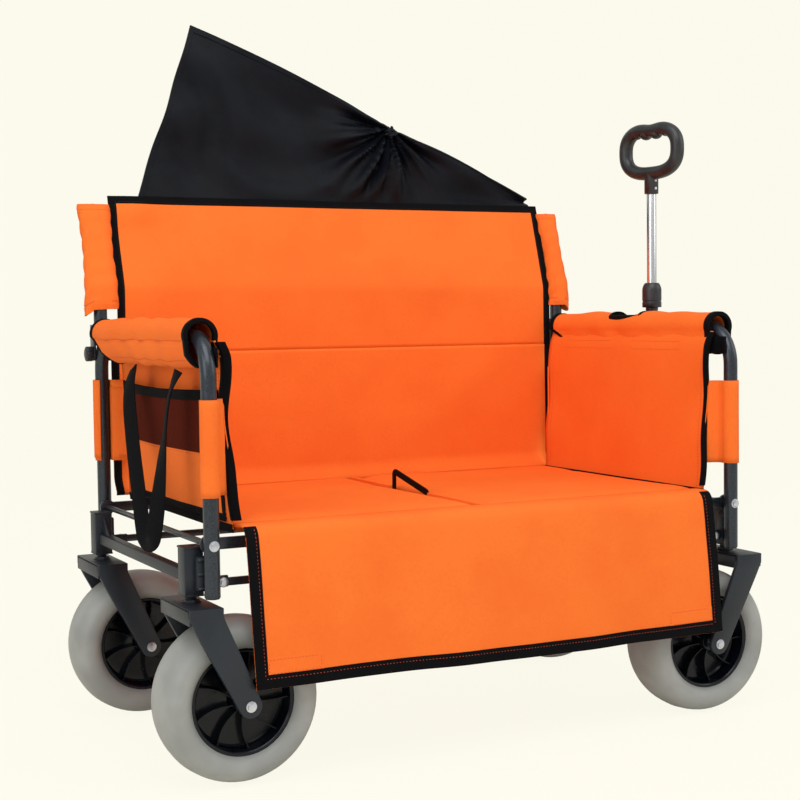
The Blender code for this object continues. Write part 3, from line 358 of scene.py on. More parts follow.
vane_count = 9
for end, x, side, y in corners:
    corner = f"{end}_{side}"
    centre = Vector((x * axle_x, y * caster_y, wheel_r))
    half = [(0.0043, 0.0338), (0.01, 0.034), (0.0118, 0.0334), (0.0125, 0.0318), (0.0132, 0.015),
        (0.0145, 0.011), (0.0175, 0.009), (0.03, 0.0078), (0.048, 0.0072), (0.055, 0.0078), (0.0578, 0.01),
        (0.0588, 0.014), (0.0591, 0.027), (0.0597, 0.0292), (0.0612, 0.0306), (0.0632, 0.031),
        (0.065, 0.0304), (0.0657, 0.029), (0.0654, 0.0282), (0.063, 0.0276), (0.0625, 0.0262)]
    hub = spun(half + [(radius, -along) for radius, along in reversed(half)], 72, centre)
    vanes = []
    for face in (-1, 1):
        for i in range(vane_count):
            vane = bmesh.new()
            bmesh.ops.create_grid(vane, x_segments=10, y_segments=2, size=0.5)
            for point in vane.verts:
                share, rise = point.co.x + 0.5, point.co.y + 0.5
                top = 0.0262 - 0.005 * sin(pi * share) - 0.004 * share
                point.co = Vector((0.0118 + 0.0476 * share, 0.0065 + (top - 0.0065) * rise,
                    0.0034 * sin(pi * share * 0.92) * face))
            bmesh.ops.solidify(vane, geom=vane.faces[:], thickness=0.0015)
            faced(vane)
            if face < 0:
                bmesh.ops.scale(vane, vec=(1, -1, 1), verts=vane.verts)
                bmesh.ops.reverse_faces(vane, faces=vane.faces)
            vanes.append(moved(rotated(vane, 2 * pi * i / vane_count, "Y"), centre))
    piece(corner + "_wheel_hub", [hub, *vanes], gloss, corner + "_wheel", corner + "_hub", bevel=0.0005)


# Forks: steel painted blue grey. A flat head with its edges folded down turns on the stem under the
# socket, and a thick leg slants down on each side of the wheel to a round foot on the axle bolt.
fork_paint = Finish("blue_grey_paint", 0.42, 0.3, Coat_Weight=0.15, Coat_Roughness=0.25)
pebble = fork_paint.node("TexVoronoi", {"feature": "SMOOTH_F1"},
    {"Vector": fork_paint.place, "Scale": 520.0})
chips = fork_paint.noise(70, 6.0, rough=0.75).between(0.66, 0.78)
tone = fork_paint.noise(9)
base = fork_paint.blend(tone.between(0.3, 0.7), (0.009, 0.013, 0.02), (0.015, 0.021, 0.03))
fork_paint.colour(chips * 0.5, base, (0.11, 0.115, 0.125))
fork_paint.rough(0.36 + 0.2 * tone)
fork_paint.raised(pebble, 0.00018)

zinc = Finish("zinc_plated_steel", 0.3, 1.0)
bloom = zinc.noise(160, 4.0)
zinc.colour(bloom.between(0.35, 0.75), (0.66, 0.68, 0.72), (0.48, 0.5, 0.56))
zinc.rough(0.24 + 0.22 * bloom)
zinc.raised(zinc.noise(700), 0.00003)


def plate(outline, thickness, place, edge=0.0008):
    """A flat outline cut from sheet, with its edges eased; place turns it out of the XY plane."""
    bm = bmesh.new()
    face = [bm.faces.new([bm.verts.new((a, b, 0)) for a, b in outline])]
    moved(bm, (0, 0, -thickness / 2))
    raised = bmesh.ops.extrude_face_region(bm, geom=face)["geom"]
    bmesh.ops.translate(bm, vec=(0, 0, thickness), verts=[v for v in raised
        if isinstance(v, bmesh.types.BMVert)])
    eased(faced(bm), bm.edges[:], edge, True)
    bmesh.ops.transform(bm, matrix=place, verts=bm.verts)
    return bm


def bar(low, high, edge=0.0008):
    """A straight bar or block between two corners, with its edges eased."""
    bm = bmesh.new()
    bmesh.ops.create_cube(bm, size=1.0)
    low, high = Vector(low), Vector(high)
    bmesh.ops.scale(bm, vec=[abs(c) for c in high - low], verts=bm.verts)
    moved(bm, (low + high) / 2)
    return eased(bm, bm.edges[:], edge) if edge else bm


def shaft(radius, start, finish_at, sides=32, edge=0.0004, tip=None):
    """A round bar between two points; tip is the radius at its far end."""
    bm = bmesh.new()
    start, finish_at = Vector(start), Vector(finish_at)
    run = finish_at - start
    bmesh.ops.create_cone(bm, cap_ends=True, segments=sides, radius1=radius, radius2=tip or radius,
        depth=run.length)
    eased(bm, [e for e in bm.edges if any(len(f.verts) > 4 for f in e.link_faces)], edge)
    bmesh.ops.transform(bm, verts=bm.verts, matrix=Matrix.Translation((start + finish_at) / 2)
        @ run.to_track_quat("Z", "Y").to_matrix().to_4x4())
    return bm


def fittings(x, y, *rows):
    """Bars and shafts given for the right-hand rear corner and mirrored into the corner at (x, y).

    A row starts with a bar's two corners, or with a shaft's radius and its two ends."""
    made = []
    for row in rows:
        shape, head = (shaft, row[:1]) if isinstance(row[0], float) else (bar, ())
        points = [(x * p[0], y * p[1], p[2]) for p in row[len(head):len(head) + 2]]
        made.append(shape(*head, *points, *row[len(head) + 2:]))
    return made


def hex_bolt(place, towards, radius, height):
    """A hexagon head on a washer, standing off a face along Y."""
    place = Vector(place)
    out = Vector((0, towards, 0))
    washer = shaft(radius * 1.28, place, place + out * height * 0.28, 32, 0.0002)
    head = shaft(radius, place + out * height * 0.26, place + out * height, 6, 0.0004)
    return [washer, head]


def swept(route, section, closed=False, up=(0, 0, 1), turns=None, pitch=None):
    """A section of (across, over) points carried along a route, with UVs in metres along and round it.

    turns twists it at each point, and pitch is the step in the UVs round it where that is even."""
    route = [Vector(p) for p in route]
    bm = bmesh.new()
    layer = bm.loops.layers.uv.new("metres")
    count, rings, length, over = len(section), [], [0.0], Vector(up)
    for i, point in enumerate(route):
        before = route[i - 1] if i or closed else point
        after = route[(i + 1) % len(route)] if i + 1 < len(route) or closed else point
        along = (after - before).normalized()
        if turns:
            over = Vector(up)
        over = (over - along * over.dot(along)).normalized()
        across = along.cross(over)
        wide, out = across, over
        if turns:
            wide = across * cos(turns[i]) + over * sin(turns[i])
            out = over * cos(turns[i]) - across * sin(turns[i])
        rings.append([bm.verts.new(point + wide * a + out * b) for a, b in section])
        length.append(length[-1] + (route[(i + 1) % len(route)] - point).length)
    around = [0.0]
    for i in range(count):
        around.append(around[-1] + (pitch or dist(section[i], section[(i + 1) % count])))
    for i in range(len(route) if closed else len(route) - 1):
        for j in range(count):
            near, far = rings[i], rings[(i + 1) % len(route)]
            face = bm.faces.new((near[j], near[(j + 1) % count], far[(j + 1) % count], far[j]))
            for loop, uv in zip(face.loops, ((length[i], around[j]), (length[i], around[j + 1]),
                    (length[i + 1], around[j + 1]), (length[i + 1], around[j]))):
                loop[layer].uv = uv
    if not closed:
        for end_ring in (rings[0], rings[-1]):
            bmesh.ops.contextual_create(bm, geom=end_ring)
    return faced(bm)


upright_face = Matrix.Rotation(radians(90), 4, "X")
stem_x, leg_out, plate_top, leg_t = 0.395, 0.055, 0.22, 0.0068
# Each leg is one plate from the full width of the fork's head down to a round foot: (towards the bench
# from the stem, height), with the foot's half circle between the two edges.
leg_outline = [(-0.021, 0.207), (-0.021, 0.2197), (0.021, 0.2197), (0.021, 0.2087)]
leg_outline += arc((stem_x - axle_x, wheel_r), 0.0145, 27.5, -152.5, 12) + [(-0.013, 0.191)]
for end, x, side, y in corners:
    corner = f"{end}_{side}"
    cx, cy, ax = x * stem_x, y * caster_y, x * axle_x
    parts = [bar((cx - 0.021, cy - leg_out, plate_top - 0.004), (cx + 0.021, cy + leg_out, plate_top),
        0.0015)]
    for s in (-1, 1):
        parts.append(bar((cx + s * 0.021, cy - leg_out + 0.002, plate_top - 0.019),
            (cx + s * 0.018, cy + leg_out - 0.002, plate_top - 0.0005), 0.001))
        middle = cy + s * (leg_out - leg_t / 2)
        parts.append(plate([(cx - x * d, z) for d, z in leg_outline], leg_t,
            Matrix.Translation((0, middle, 0)) @ upright_face, 0.0022))
    parts.append(shaft(0.01, (cx, cy, plate_top - 0.001), (cx, cy, 0.2235), 6, 0.0006))
    parts.append(shaft(0.0118, (cx, cy, 0.22), (cx, cy, 0.2212), 32, 0.0003))
    parts.append(shaft(0.0066, (cx, cy, 0.223), (cx, cy, 0.27), 24))
    piece(corner + "_pressed_fork", parts, fork_paint, corner + "_caster", corner + "_fork")
    bolt = [shaft(0.0039, (ax, cy - leg_out - 0.001, wheel_r), (ax, cy + leg_out + 0.001, wheel_r), 24)]
    for s in (-1, 1):
        bolt += hex_bolt((ax, cy + s * (leg_out + 0.0002), wheel_r), s, 0.0052, 0.0034)
    piece(corner + "_axle_and_nuts", bolt, zinc, corner + "_caster", corner + "_axle_bolt")


# Brake pedals: a black moulded pad at the front of each right-hand fork, ribbed across so that a
# shoe doesn't slip. It turns on two barrels under the fork's head.
pedal_black = Finish("black_nylon_moulding", 0.5, Coat_Weight=0.08)
pedal_black.colour(pedal_black.noise(45, 4.0).between(0.4, 0.75), (0.01, 0.011, 0.013),
    (0.024, 0.025, 0.028))
pedal_black.raised(pedal_black.noise(1100), 0.00007)
for side, y in sides:
    corner = f"right_{side}"
    at = Vector((0.405, y * caster_y, 0.201))
    pad = [bar((0.0055, -0.015, -0.0018), (0.0352, 0.015, 0.0022), 0.0012)]
    pad += [bar((0.0085 + 0.005 * i, -0.0125, 0.0018), (0.0103 + 0.005 * i, 0.0125, 0.0032), 0.0005)
        for i in range(5)]
    pad += [shaft(0.0055, (0, s * 0.0118 - 0.003, 0), (0, s * 0.0118 + 0.003, 0), 24) for s in (-1, 1)]
    pad += [bar((0.0, s * 0.0118 - 0.0028, -0.0022), (0.009, s * 0.0118 + 0.0028, 0.0022), 0.0008)
        for s in (-1, 1)]
    piece(corner + "_ribbed_brake_pedal", moved(rotated(joined(*pad), radians(17), "Y"), at), pedal_black,
        corner + "_brake", corner + "_brake_pedal")


# End frames: steel tube bent over at the arm, powder coated in a hammered dark grey. A thin rail ties
# the two posts of an end, and everything that the paint covers on the folding frame shares the coat.
hammered = Finish("hammered_grey_coat", 0.34, 0.6, Coat_Weight=0.35, Coat_Roughness=0.18)
dimples = hammered.node("TexVoronoi", {"feature": "SMOOTH_F1"}, {"Vector": hammered.place, "Scale": 620.0})
patches = hammered.noise(30, 3.0)
hammered.colour(dimples.between(0.15, 0.6), (0.017, 0.023, 0.031), (0.033, 0.042, 0.055))
hammered.rough(0.28 + 0.14 * patches)
hammered.raised(dimples + patches * 0.3, 0.00008)


def rounded_route(corners, radius, steps=8):
    """The corners' route with an arc in place of each inner corner."""
    corners = [Vector(c) for c in corners]
    route = [corners[0]]
    for before, corner, after in zip(corners, corners[1:], corners[2:]):
        into, out = (before - corner).normalized(), (after - corner).normalized()
        reach = radius / tan(into.angle(out) / 2)
        middle = corner + (into + out).normalized() * hypot(reach, radius)
        first, last = corner + into * reach - middle, corner + out * reach - middle
        for i in range(steps + 1):
            route.append(middle + first.slerp(last, i / steps)
                * (radius / first.slerp(last, i / steps).length))
    return route + [corners[-1]]


post_x, post_y, post_r, arm_z, rail_z = 0.38, 0.2225, 0.0095, 0.535, 0.29
for end, x in ends:
    route = rounded_route([(x * post_x, -post_y, 0.229), (x * post_x, -post_y, arm_z),
        (x * post_x, post_y, arm_z), (x * post_x, post_y, 0.229)], 0.0525, 14)
    tube = [swept(route, ring(post_r, 32), up=(1, 0, 0))]
    tube += fittings(x, 1, (0.0038, (post_x, -post_y, rail_z), (post_x, post_y, rail_z), 24))
    for side, y in sides:
        tube += fittings(x, y, (0.0086, (post_x, post_y, 0.229), (post_x, post_y, 0.2272), 28, 0.0006),
            (0.006, (post_x, 0.212, rail_z), (post_x, 0.2205, rail_z), 24, 0.0006))
    piece(end + "_bent_end_tube", tube, hammered, end + "_end", end + "_end_tube")


# Axle frames: a square tube joins two upright square sockets that the fork stems turn in. Caps close
# the sockets, gussets stiffen the corners, and each socket is welded to its post; same paint as the forks.
side_face = Matrix(((0, 0, 1, 0), (1, 0, 0, 0), (0, 1, 0, 0), (0, 0, 0, 1)))
link_y, link_t, lower_z, lower_x = 0.2097, 0.005, 0.244, 0.362
for end, x in ends:
    parts = fittings(x, 1, ((stem_x - 0.007, -0.18, 0.243), (stem_x + 0.007, 0.18, 0.257), 0.0014))
    for side, y in sides:
        parts += fittings(x, y, ((stem_x - 0.012, 0.1775, 0.228), (stem_x + 0.012, 0.2025, 0.2856), 0.0018),
            ((stem_x - 0.0127, 0.1768, 0.2844), (stem_x + 0.0127, 0.2032, 0.2872), 0.0011),
            ((stem_x - 0.0124, 0.1771, 0.228), (stem_x + 0.0124, 0.2029, 0.2302), 0.0009),
            (0.0042, (stem_x, caster_y, 0.2868), (stem_x, caster_y, 0.288), 24, 0.0004),
            ((0.373, 0.2005, 0.235), (0.395, 0.2127, 0.276), 0.0024),
            ((0.354, 0.2015, 0.2373), (0.381, 0.2067, 0.2508), 0.001),
            *[(0.0022, (0.374, 0.2123, z), (0.394, 0.2123, z), 16, 0.0006) for z in (0.238, 0.255, 0.272)])
        gusset = [(0.179, 0.256), (0.145, 0.256), (0.151, 0.2585), (0.176, 0.279), (0.179, 0.28)]
        parts.append(plate([(y * a, b) for a, b in gusset], 0.003,
            Matrix.Translation((x * stem_x, 0, 0)) @ side_face, 0.0006))
    piece(end + "_welded_axle_frame", parts, fork_paint, end + "_end", end + "_axle_frame")
    pins = []
    for side, y in sides:
        pins += fittings(x, y, *[(0.003, (px, 0.205, pz), (px, 0.214, pz), 24)
            for px, pz in ((lower_x, lower_z), (post_x, rail_z))])
        pins += hex_bolt((x * lower_x, y * (link_y + link_t / 2), lower_z), y, 0.0044, 0.003)
    for s in (-1, 1):
        pins += hex_bolt((x * post_x, s * (post_y + post_r - 0.0006), rail_z), s, 0.0049, 0.0034)
    piece(end + "_frame_bolts", pins, zinc, end + "_end")


# Folding links: flat steel bars with round eyes, two above and two below on each side. They turn on
# pins at the end frames and at the centre, and each has a zinc rivet at its inner eye.
for end, x in ends:
    for side, y in sides:
        for kind, x0, x1, z, height, big, small in (
                ("upper", post_x, 0.03, rail_z, 0.014, 0.0105, 0.0092),
                ("lower", lower_x, 0.012, lower_z, 0.0095, 0.0065, 0.0065)):
            outline = []
            for px, radius, start in ((x0, big, 180), (x1, small, 0)):
                low = degrees(asin(height / 2 / radius))
                outline += arc((px, z), radius, start + low, start + 360 - low, 18)
            outline = [(x * a, b) for a, b in outline]
            at = Matrix.Translation((0, y * link_y, 0)) @ upright_face
            bodies = end + "_" + kind + "_links"
            node = f"{end}_{side}_{kind}_link"
            piece(f"{end}_{side}_{kind}_flat_link", plate(outline, link_t, at, 0.0007), hammered, bodies,
                node)
            outside = link_y + link_t / 2
            rivet = fittings(x, y, (0.0029, (x1, 0.205, z), (x1, 0.213, z), 24),
                (0.0056, (x1, outside - 0.0001, z), (x1, outside + 0.0022, z), 32, 0.0008, 0.0046))
            piece(f"{end}_{side}_{kind}_rivet", rivet, zinc, bodies)


# Centre bridge: two plates and a square beam between them hold the inner ends of the links, and the
# seat boards' middle edges rest on the beam. Welded steel in the hammered coat.
parts = [bar((-0.01, -0.204, 0.278), (0.01, 0.204, 0.298), 0.0016)]
for y in (-1, 1):
    at = Matrix.Translation((0, y * 0.205, 0)) @ upright_face
    parts.append(plate([(-0.04, 0.297), (-0.04, 0.278), (-0.02, 0.232), (0.02, 0.232), (0.04, 0.278),
        (0.04, 0.297)], 0.003, at, 0.0007))
    for z in (0.2795, 0.2965):
        parts.append(shaft(0.0018, (-0.0095, y * 0.2032, z), (0.0095, y * 0.2032, z), 16, 0.0005))
piece("folding_centre_bridge", parts, hammered, "centre", "centre_bridge")


# Seat: two boards wrapped in padded orange cloth, which meet over the centre bridge. The padding is
# blown up by a short cloth simulation, so it crowns between its edges and stays flat underneath.
def woven(name, light, dark, rough=0.82, pitch=0.0016, depth=0.00022, way=None, **fixed):
    """Plain woven cloth: crossed threads along the metre UVs, or along two axes of the object."""
    finish = Finish(name, rough, **fixed)
    place = finish.node("UVMap", {"uv_map": "metres"}) if way is None else finish.place
    parts = finish.axis(place)
    u, v = parts["xyz".index(way[0])] if way else parts[0], parts["xyz".index(way[1])] if way else parts[1]
    turns = 2 * pi / pitch
    threads = (u * turns).wave() * (v * turns).wave()
    wear = finish.noise(8, 4.0, rough=0.6).between(0.35, 0.7)
    slubs = finish.noise(260).between(0.45, 0.75)
    tone = finish.blend(wear, light, dark)
    # Painted shade: where the threads dip into the weave's valleys, the colour is darkened towards dark *
    # 0.66. The slubs darken it at random.
    finish.colour((0.5 - threads * 0.5) * 0.16 + slubs * 0.08, tone, [c * 0.66 for c in dark])
    finish.rough(rough - 0.1 * wear)
    finish.raised(threads * 0.35 + slubs * 0.5 + 0.2, depth)
    return finish


orange_light, orange_dark = (0.95, 0.188, 0.028), (0.92, 0.165, 0.023)
seat_cloth = woven("orange_seat_cloth", orange_light, orange_dark, way="xy", Specular_IOR_Level=0.12)
orange_cloth = woven("orange_oxford_cloth", orange_light, orange_dark, Specular_IOR_Level=0.12)
binding = woven("black_binding_tape", (0.004, 0.0038, 0.005), (0.0022, 0.0022, 0.003), 0.85, pitch=0.0011,
    Specular_IOR_Level=0.08)
webbing = woven("black_webbing", (0.0045, 0.0045, 0.006), (0.0025, 0.0025, 0.0035), 0.8, pitch=0.0022,
    depth=0.0004, Specular_IOR_Level=0.1)
black_thread = Finish("black_sewing_thread", 0.7).colour((0.012, 0.011, 0.012))
orange_thread = Finish("orange_sewing_thread", 0.6).colour((0.62, 0.06, 0.012))

pad_in, pad_out, pad_half, pad_middle = 0.0062, 0.3415, 0.2, 0.304
for end, x in ends:
    pad = bar((x * pad_in, -pad_half, 0.2992), (x * pad_out, pad_half, 0.3092), 0.0022)
    mesh = bpy.data.meshes.new("pad")
    pad.to_mesh(mesh)
    pad.free()
    board = bpy.data.objects.new("pad", mesh)
    scene.collection.objects.link(board)
    board.modifiers.new("voxels", "REMESH").mode = "VOXEL"
    board.modifiers["voxels"].voxel_size = 0.005
    grid = bpy.data.meshes.new_from_object(board.evaluated_get(bpy.context.evaluated_depsgraph_get()))
    board.modifiers.clear()
    board.data = grid
    rest = [v.co.copy() for v in grid.vertices]
    blown = board.modifiers.new("blown", "CLOTH")
    blown.settings.use_pressure = True
    blown.settings.uniform_pressure_force = 4.0
    blown.settings.effector_weights.gravity = 0.0
    for frame_number in range(1, 21):
        scene.frame_set(frame_number)
    swollen = bpy.data.meshes.new_from_object(board.evaluated_get(bpy.context.evaluated_depsgraph_get()))
    board.modifiers.clear()
    scene.frame_set(1)
    pad = bmesh.new()
    pad.from_mesh(swollen)
    for point, start in zip(pad.verts, rest):
        lift, top = point.co - start, start.z > pad_middle
        inside = min(start.x * x - pad_in, pad_out - start.x * x, pad_half - abs(start.y))
        limit = 0.0036 * min(1.0, 0.25 + inside / 0.02) if top else 0.0011
        if lift.length > limit:
            lift *= limit / lift.length
        crown = 0.0016 * min(1.0, max(0.0, inside / 0.045))
        ripple = 0.001 * waver(start.x * 7, start.y * 5, 3.0 + x)
        point.co = start + lift + Vector((0, 0, (crown + ripple) * top))
        point.co.z = max(point.co.z, 0.2985)
        point.co.x = x * min(max(point.co.x * x, 0.0052), 0.3428)
        point.co.y = min(max(point.co.y, -0.2032), 0.2032)
    bpy.data.objects.remove(board)
    cushion = piece(end + "_padded_seat", pad, seat_cloth, end + "_seat", end + "_seat_board", crease=60,
        levels=1)
crease = [bar((-0.0046, -0.202, 0.2983), (0.0046, -0.0475, 0.3116), 0.0016),
    bar((-0.0046, 0.0665, 0.2983), (0.0046, 0.202, 0.3116), 0.0016)]
piece("seat_middle_crease", crease, seat_cloth, "centre")


# Front flap: a panel of the same cloth that hangs from the seat's front edge over the side of the
# frame. Black tape binds its sides and hem, and a patch is stitched on at each bottom corner.
def draped(columns, rows, size, shape, area=(0.0, 1.0, 0.0, 1.0)):
    """A sheet bent by shape(u, v), or the part of it inside area, with UVs in metres."""
    bm = bmesh.new()
    bmesh.ops.create_grid(bm, x_segments=columns, y_segments=rows, size=0.5)
    layer = bm.loops.layers.uv.new("metres")
    u0, u1, v0, v1 = area
    for face in bm.faces:
        for loop in face.loops:
            loop[layer].uv = ((u0 + (u1 - u0) * (loop.vert.co.x + 0.5)) * size[0],
                (v0 + (v1 - v0) * (loop.vert.co.y + 0.5)) * size[1])
    for point in bm.verts:
        point.co = Vector(shape(u0 + (u1 - u0) * (point.co.x + 0.5), v0 + (v1 - v0) * (point.co.y + 0.5)))
    return faced(bm)


def trims(size, shape, *cuts):
    """Strips of a draped sheet, each given by its columns, its rows and its area."""
    return [draped(columns, rows, size, shape, area) for columns, rows, *area in cuts]


def stitched(shape, route, lift, size, pitch=0.0044, width=0.0009):
    """Stitches along a route of (u, v) points, each a small lozenge that stands off the cloth."""
    marks = bmesh.new()
    for (u0, v0), (u1, v1) in zip(route, route[1:]):
        run = hypot((u1 - u0) * size[0], (v1 - v0) * size[1])
        for i in range(max(1, int(run / pitch))):
            share = (i + 0.5) * pitch / max(run, pitch)
            u, v = u0 + (u1 - u0) * share, v0 + (v1 - v0) * share
            spot, step = Vector(shape(u, v)), 0.002
            du, dv = Vector(shape(u + step, v)) - spot, Vector(shape(u, v + step)) - spot
            out = du.cross(dv).normalized()
            along = ((u1 - u0) * du + (v1 - v0) * dv).normalized()
            side = out.cross(along)
            for sign in (1, -1):
                middle = spot + out * lift * sign
                rim = [marks.verts.new(middle + p) for p in (along * pitch * 0.36, side * width / 2,
                    along * -pitch * 0.36, side * -width / 2)]
                top = marks.verts.new(middle + out * 0.0005 * sign)
                for a, b in zip(rim, rim[1:] + rim[:1]):
                    marks.faces.new((a, b, top))
    return faced(marks)


cloth_t, tape_t, flap_x = 0.0014, 0.003, 0.335
flap_size = (2 * flap_x, 0.221)


def flap_shape(u, v):
    run = v * flap_size[1]
    hang = min(1.0, max(0.0, v * 1.2 - 0.2))
    x = -flap_x - 0.009 + 0.006 * hang + (2 * flap_x + 0.009) * u
    flat, quarter, radius = 0.0194, 0.016 * pi / 2, 0.016
    if run < flat:
        y, z = -0.2036 - run, 0.3108
    elif run < flat + quarter:
        a = (run - flat) / radius
        y, z = -0.223 - radius * sin(a), 0.3108 - radius * (1 - cos(a))
    else:
        share = (run - flat - quarter) / (flap_size[1] - flat - quarter)
        y, z = -0.239 - 0.012 * share ** 0.8, 0.2948 - 0.176 * share
        folds = (0.6 * sin(9.2 * u + 0.6) + 0.55 * sin(23.0 * u + 1.9) + 0.25 * sin(41.0 * u + share))
        y += 0.0026 * share ** 1.3 * folds - 0.001 * share
        y += 0.0022 * waver(x * 9, z * 12, 1.0) * share
        z += 0.0016 * share * sin(6.5 * u + 0.4)
    return x, y, z


flap_wide, flap_hem = 0.016 / flap_size[0], 0.017 / flap_size[1]
flap_tape = trims(flap_size, flap_shape, (3, 44, 0, flap_wide, 0.12, 1), (3, 44, 1 - flap_wide, 1, 0.12, 1),
    (110, 4, 0, 1, 1 - flap_hem, 1))
flap_pieces = [piece("front_flap_panel", draped(110, 44, flap_size, flap_shape), orange_cloth, "front_flap",
    "front_flap_cloth", thick=cloth_t), piece("front_flap_binding", flap_tape, binding, "front_flap",
    thick=tape_t, bevel=0.0009)]
seam, hem_seam = flap_wide * 0.75, 1 - flap_hem * 0.7
seams = [stitched(flap_shape, [(seam, 0.14), (seam, hem_seam), (1 - seam, hem_seam), (1 - seam, 0.14)],
    tape_t / 2 - 0.0001, flap_size)]
patches = []
for low in (0.026, 1 - 0.026 - 0.097):
    high, v0, v1 = low + 0.097, 0.848, 0.92
    seams.append(stitched(flap_shape, [(low, v0), (high, v0), (high, v1), (low, v1), (low, v0)], 0.0012,
        flap_size))
    patches.append(draped(16, 5, flap_size, flap_shape, (low - 0.004, high + 0.004, v0 - 0.01, v1 + 0.01)))
flap_pieces.append(piece("front_flap_patches", patches, orange_cloth, "front_flap", thick=0.0022,
    bevel=0.0004))
flap_pieces.append(piece("front_flap_stitches", seams, orange_thread, "front_flap"))
for obj in flap_pieces:
    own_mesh(obj)


# End walls: one panel of orange cloth a side, hung between the posts under the armrest. Tabs wrap its
# edges round the posts, and short black webbing bands tie it to them high up. Its front edge is bound.
wall_low, wall_high, wall_half = 0.3, 0.528, 0.2045
wall_size = (2 * wall_half, wall_high - wall_low)


def wall_line(z):
    """How far out a wall stands at a height."""
    return 0.346 + 0.0125 * (z - wall_low) / (wall_high - wall_low)


def wall_shape(x):
    def shape(u, v):
        y, z = -wall_half + 2 * wall_half * u, wall_low + (wall_high - wall_low) * v
        hollow = sin(pi * u) * sin(pi * min(1.0, 0.1 + v * 0.9))
        slack = 0.003 * waver(y * 9, z * 7, 2.0 + x) + 0.0012 * sin(26 * y + 14 * z)
        pull = 0.0016 * sin(60 * (z - 0.3) + 2.0 * y) * (exp(-u * 9) + exp(-(1 - u) * 9))
        tuck = 0.005 * max(0.0, min(1.0, (z - 0.508) / 0.018)) ** 1.5
        return x * (wall_line(z) + slack * hollow + pull + tuck), y, z
    return shape


def ribbon(route, width, thick):
    """Flat webbing along a level route, standing on edge."""
    half, t = width / 2, thick / 2
    section = [(half, -t * 0.3), (half, t * 0.3), (half - t, t), (-half + t, t), (-half, t * 0.3),
        (-half, -t * 0.3), (-half + t, -t), (half - t, -t)]
    return swept(route, section, up=(Vector(route[1]) - Vector(route[0])).cross((0, 0, 1)))


tabs = ((-1, 0, 0.346, 0.46, 0.0108), (1, 0, 0.356, 0.46, 0.0108), (1, 1, 0.36, 0.47, 0.0121))
for end, x in ends:
    shape = wall_shape(x)
    parts = [draped(48, 30, wall_size, shape)]
    for y, layer, low, high, radius in tabs:
        outline = [(wall_line(low) + 0.0006, 0.2), (0.354, 0.203), (0.364, 0.206),
            (0.3705 - 0.0012 * layer, 0.21)]
        outline += arc((post_x, post_y), radius, 240, -60, 24)[3 - layer:]

        def tab(u, v):
            at = u * (len(outline) - 1)
            i = min(int(at), len(outline) - 2)
            spot = Vector(outline[i]).lerp(Vector(outline[i + 1]), at - i)
            return x * spot.x + 0.00028 * sin(90 * v + 5 * u), y * spot.y, low + (high - low) * v
        parts.append(draped(44, 14, (0.12, high - low), tab))
    wall = piece(end + "_cloth_wall", parts, orange_cloth, end + "_end", end + "_end_wall", thick=cloth_t)
    lines = [stitched(shape, [(u0, v0), (u1, v1)], 0.0008, wall_size) for u0, v0, u1, v1 in (
        (0.02, 0.02, 0.98, 0.02), (0.035, 0.05, 0.035, 0.86), (0.965, 0.05, 0.965, 0.86),
        (0.16, 0.885, 0.46, 0.885), (0.58, 0.885, 0.9, 0.885), (0.16, 0.935, 0.46, 0.935),
        (0.58, 0.935, 0.9, 0.935))]
    piece(end + "_wall_stitches", lines, orange_thread, end + "_end")
    bands = []
    for side, y in sides:
        run = [(0.3655, 0.194), (0.3665, 0.206)] + arc((post_x, post_y), 0.0108, 208, 164, 6)
        bands.append(ribbon([(x * a, y * b, 0.509) for a, b in run], 0.024, 0.0015))
    piece(end + "_wall_webbing_bands", bands, webbing, end + "_end", crease=60)

    def waved(u, v):
        past = wall_size[0] * min(u, 0)
        out = x * (0.8 * past + 0.002 - 0.003 * sin(2.0 * pi * v + 1.6))
        return Vector(shape(max(u, 0), v)) + Vector((out, 0.12 * past - 0.003 * sin(2.2 * pi * v + 0.9), 0))
    tape = joined(draped(7, 50, wall_size, waved, (-0.03, 0.016, 0.066, 0.995)),
        draped(48, 3, wall_size, shape, (0, 1, 0, 0.045)))
    piece(end + "_wall_binding", tape, binding, end + "_end", thick=tape_t, bevel=0.0007)


# Armrests: padded sleeves of orange cloth sewn round the tubes' level run and closed by a seam under
# it. Their mouths are bound in black, the rear ends slant, and the right one is notched for the handle.
arm_front, arm_low_z, arm_high_z, low_back, high_back = -0.197, 0.496, 0.531, 0.125, 0.206
arm_outline = arc((post_x, arm_z), 0.0185, -20, 200, 22) + [(post_x - 0.0172, 0.518),
    (post_x - 0.015, 0.511), (post_x - 0.011, 0.5035), (post_x - 0.0065, 0.4986), (post_x, 0.4976),
    (post_x + 0.0052, 0.4986), (post_x + 0.0115, 0.5045), (post_x + 0.0165, 0.512)]


def arm_back(z):
    return low_back + (high_back - low_back) * min(1.0, max(0.0, (z - arm_low_z) / (arm_high_z - arm_low_z)))


def arm_shape(x):
    outline = [Vector((x * a, b)) for a, b in arm_outline]

    def shape(u, v):
        at = u * len(outline)
        spot = outline[int(at) % len(outline)].lerp(outline[(int(at) + 1) % len(outline)], at - int(at))
        y = arm_front + (arm_back(spot.y) - arm_front) * v
        squeeze = 0.001 * sin(34 * v + 2.0 * sin(7 * u)) * sin(pi * v)
        squeeze += 0.0022 * waver(spot.x * 22, y * 16, spot.y * 22) + 0.001 * sin(pi * v)
        spot = spot + (spot - Vector((x * post_x, arm_z))).normalized() * squeeze
        return spot.x, y, spot.y
    return shape


